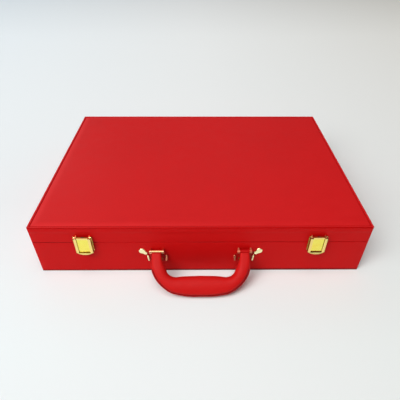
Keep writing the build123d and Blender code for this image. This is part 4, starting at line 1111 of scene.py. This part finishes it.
cap_and_sew(cushion, start)
sub = cushion.modifiers.new("subdivision", "SUBSURF")
sub.levels = sub.render_levels = 1
bake_modifiers(cushion)
cushion.data.polygons.foreach_set("use_smooth", [True] * len(cushion.data.polygons))
velvet_piece(cushion, "lid", "pad_velvet", "lid_pad")
sewn_loop = loop(PX - CHANNEL, PY - CHANNEL, 2.0, nc=5, nx=2, ny=2)
sewn = path_stitches("lid_cushion_stitching", sewn_loop, True, 5.0, 3.8, 0.30, PAD_LOW + 3.9, mat_stitch, dip=0.2)
velvet_piece(sewn, "lid", "pad_velvet")
pipe = ring("lid_cushion_piping", rope_profile(-1.0, PAD_LOW + 4.6, 0.95), mat_velvet, hx=PX, hy=PY, r=3.0, nc=6)
velvet_piece(pipe, "lid", "pad_velvet")

# ------------------------------------------------------------------ stage and light
floor_me = bpy.data.meshes.new("stage_floor")
floor_me.from_pydata([(-9, -7, 0), (9, -7, 0), (9, 14, 0), (-9, 14, 0)], [], [(0, 1, 2, 3)])
floor = bpy.data.objects.new("stage_floor", floor_me)
scene.collection.objects.link(floor)
# The floor's colour is painted light: bluer and lighter to the left, warmer and darker to the right, a cooler band just
# in front of the case against the red bounce light, and brighter towards the back.
m, nt, b = new_material("floor_painted_light")
co = object_coord(nt)
sep = add(nt, "ShaderNodeSeparateXYZ")
nt.links.new(co, sep.inputs[0])
shade = ramp(nt, maths(nt, "ADD", maths(nt, "MULTIPLY", sep.outputs["X"], 0.4), 0.5), [(0.0, (0.80, 0.875, 0.925)), (0.5, (0.885, 0.90, 0.895)), (1.0, (0.84, 0.82, 0.76))])
depth = ramp(
    nt,
    maths(nt, "ADD", maths(nt, "MULTIPLY", sep.outputs["Y"], 0.5), 0.25),
    [(0.05, (0.88, 0.88, 0.88)), (0.11, (0.885, 0.915, 0.912)), (0.17, (0.885, 0.915, 0.912)), (0.25, (0.88, 0.885, 0.885)), (0.44, (0.965, 0.965, 0.965)), (0.78, (1.10, 1.10, 1.10))],
)
shade = mix_rgb(nt, 1.0, shade, depth, "MULTIPLY")
nt.links.new(shade, b.inputs["Base Color"])
b.inputs["Roughness"].default_value = 0.8
b.inputs["Specular IOR Level"].default_value = 0.2
floor_me.materials.append(m)

world = bpy.data.worlds.new("studio")
scene.world = world
world.use_nodes = True
bg = world.node_tree.nodes["Background"]
bg.inputs["Color"].default_value = (0.97, 0.99, 1.0, 1)
bg.inputs["Strength"].default_value = 0.09


def area(name, at, to, size, power, colour=(1, 1, 1)):
    d = bpy.data.lights.new(name, "AREA")
    d.shape = "SQUARE"
    d.size = size
    d.energy = power
    d.color = colour
    o = bpy.data.objects.new(name, d)
    scene.collection.objects.link(o)
    o.location = Vector(at)
    o.rotation_euler = (Vector(to) - Vector(at)).to_track_quat("-Z", "Y").to_euler()
    return o


area("key", (-2.6, -2.6, 5.0), (0, 0, 0.03), 2.2, 112.0)
area("left", (-1.5, -1.3, 1.7), (0, 0, 0.03), 1.5, 31.0, (0.99, 1.0, 1.0))
area("front", (0.0, -3.0, 5.0), (0, 0, 0.03), 2.2, 28.0)
area("overhead", (0.0, -0.9, 4.5), (0, 0.2, 0.03), 3.0, 76.0)
area("rim", (-2.0, 2.2, 1.6), (0, 0.2, 0.03), 2.0, 9.0, (0.97, 0.99, 1.0))
area("side", (2.0, 0.2, 1.6), (0, 0, 0.03), 1.5, 2.5, (1.0, 0.985, 0.95))
area("back", (0.0, 2.6, 2.4), (0, 1.0, 0), 2.0, 4.0)
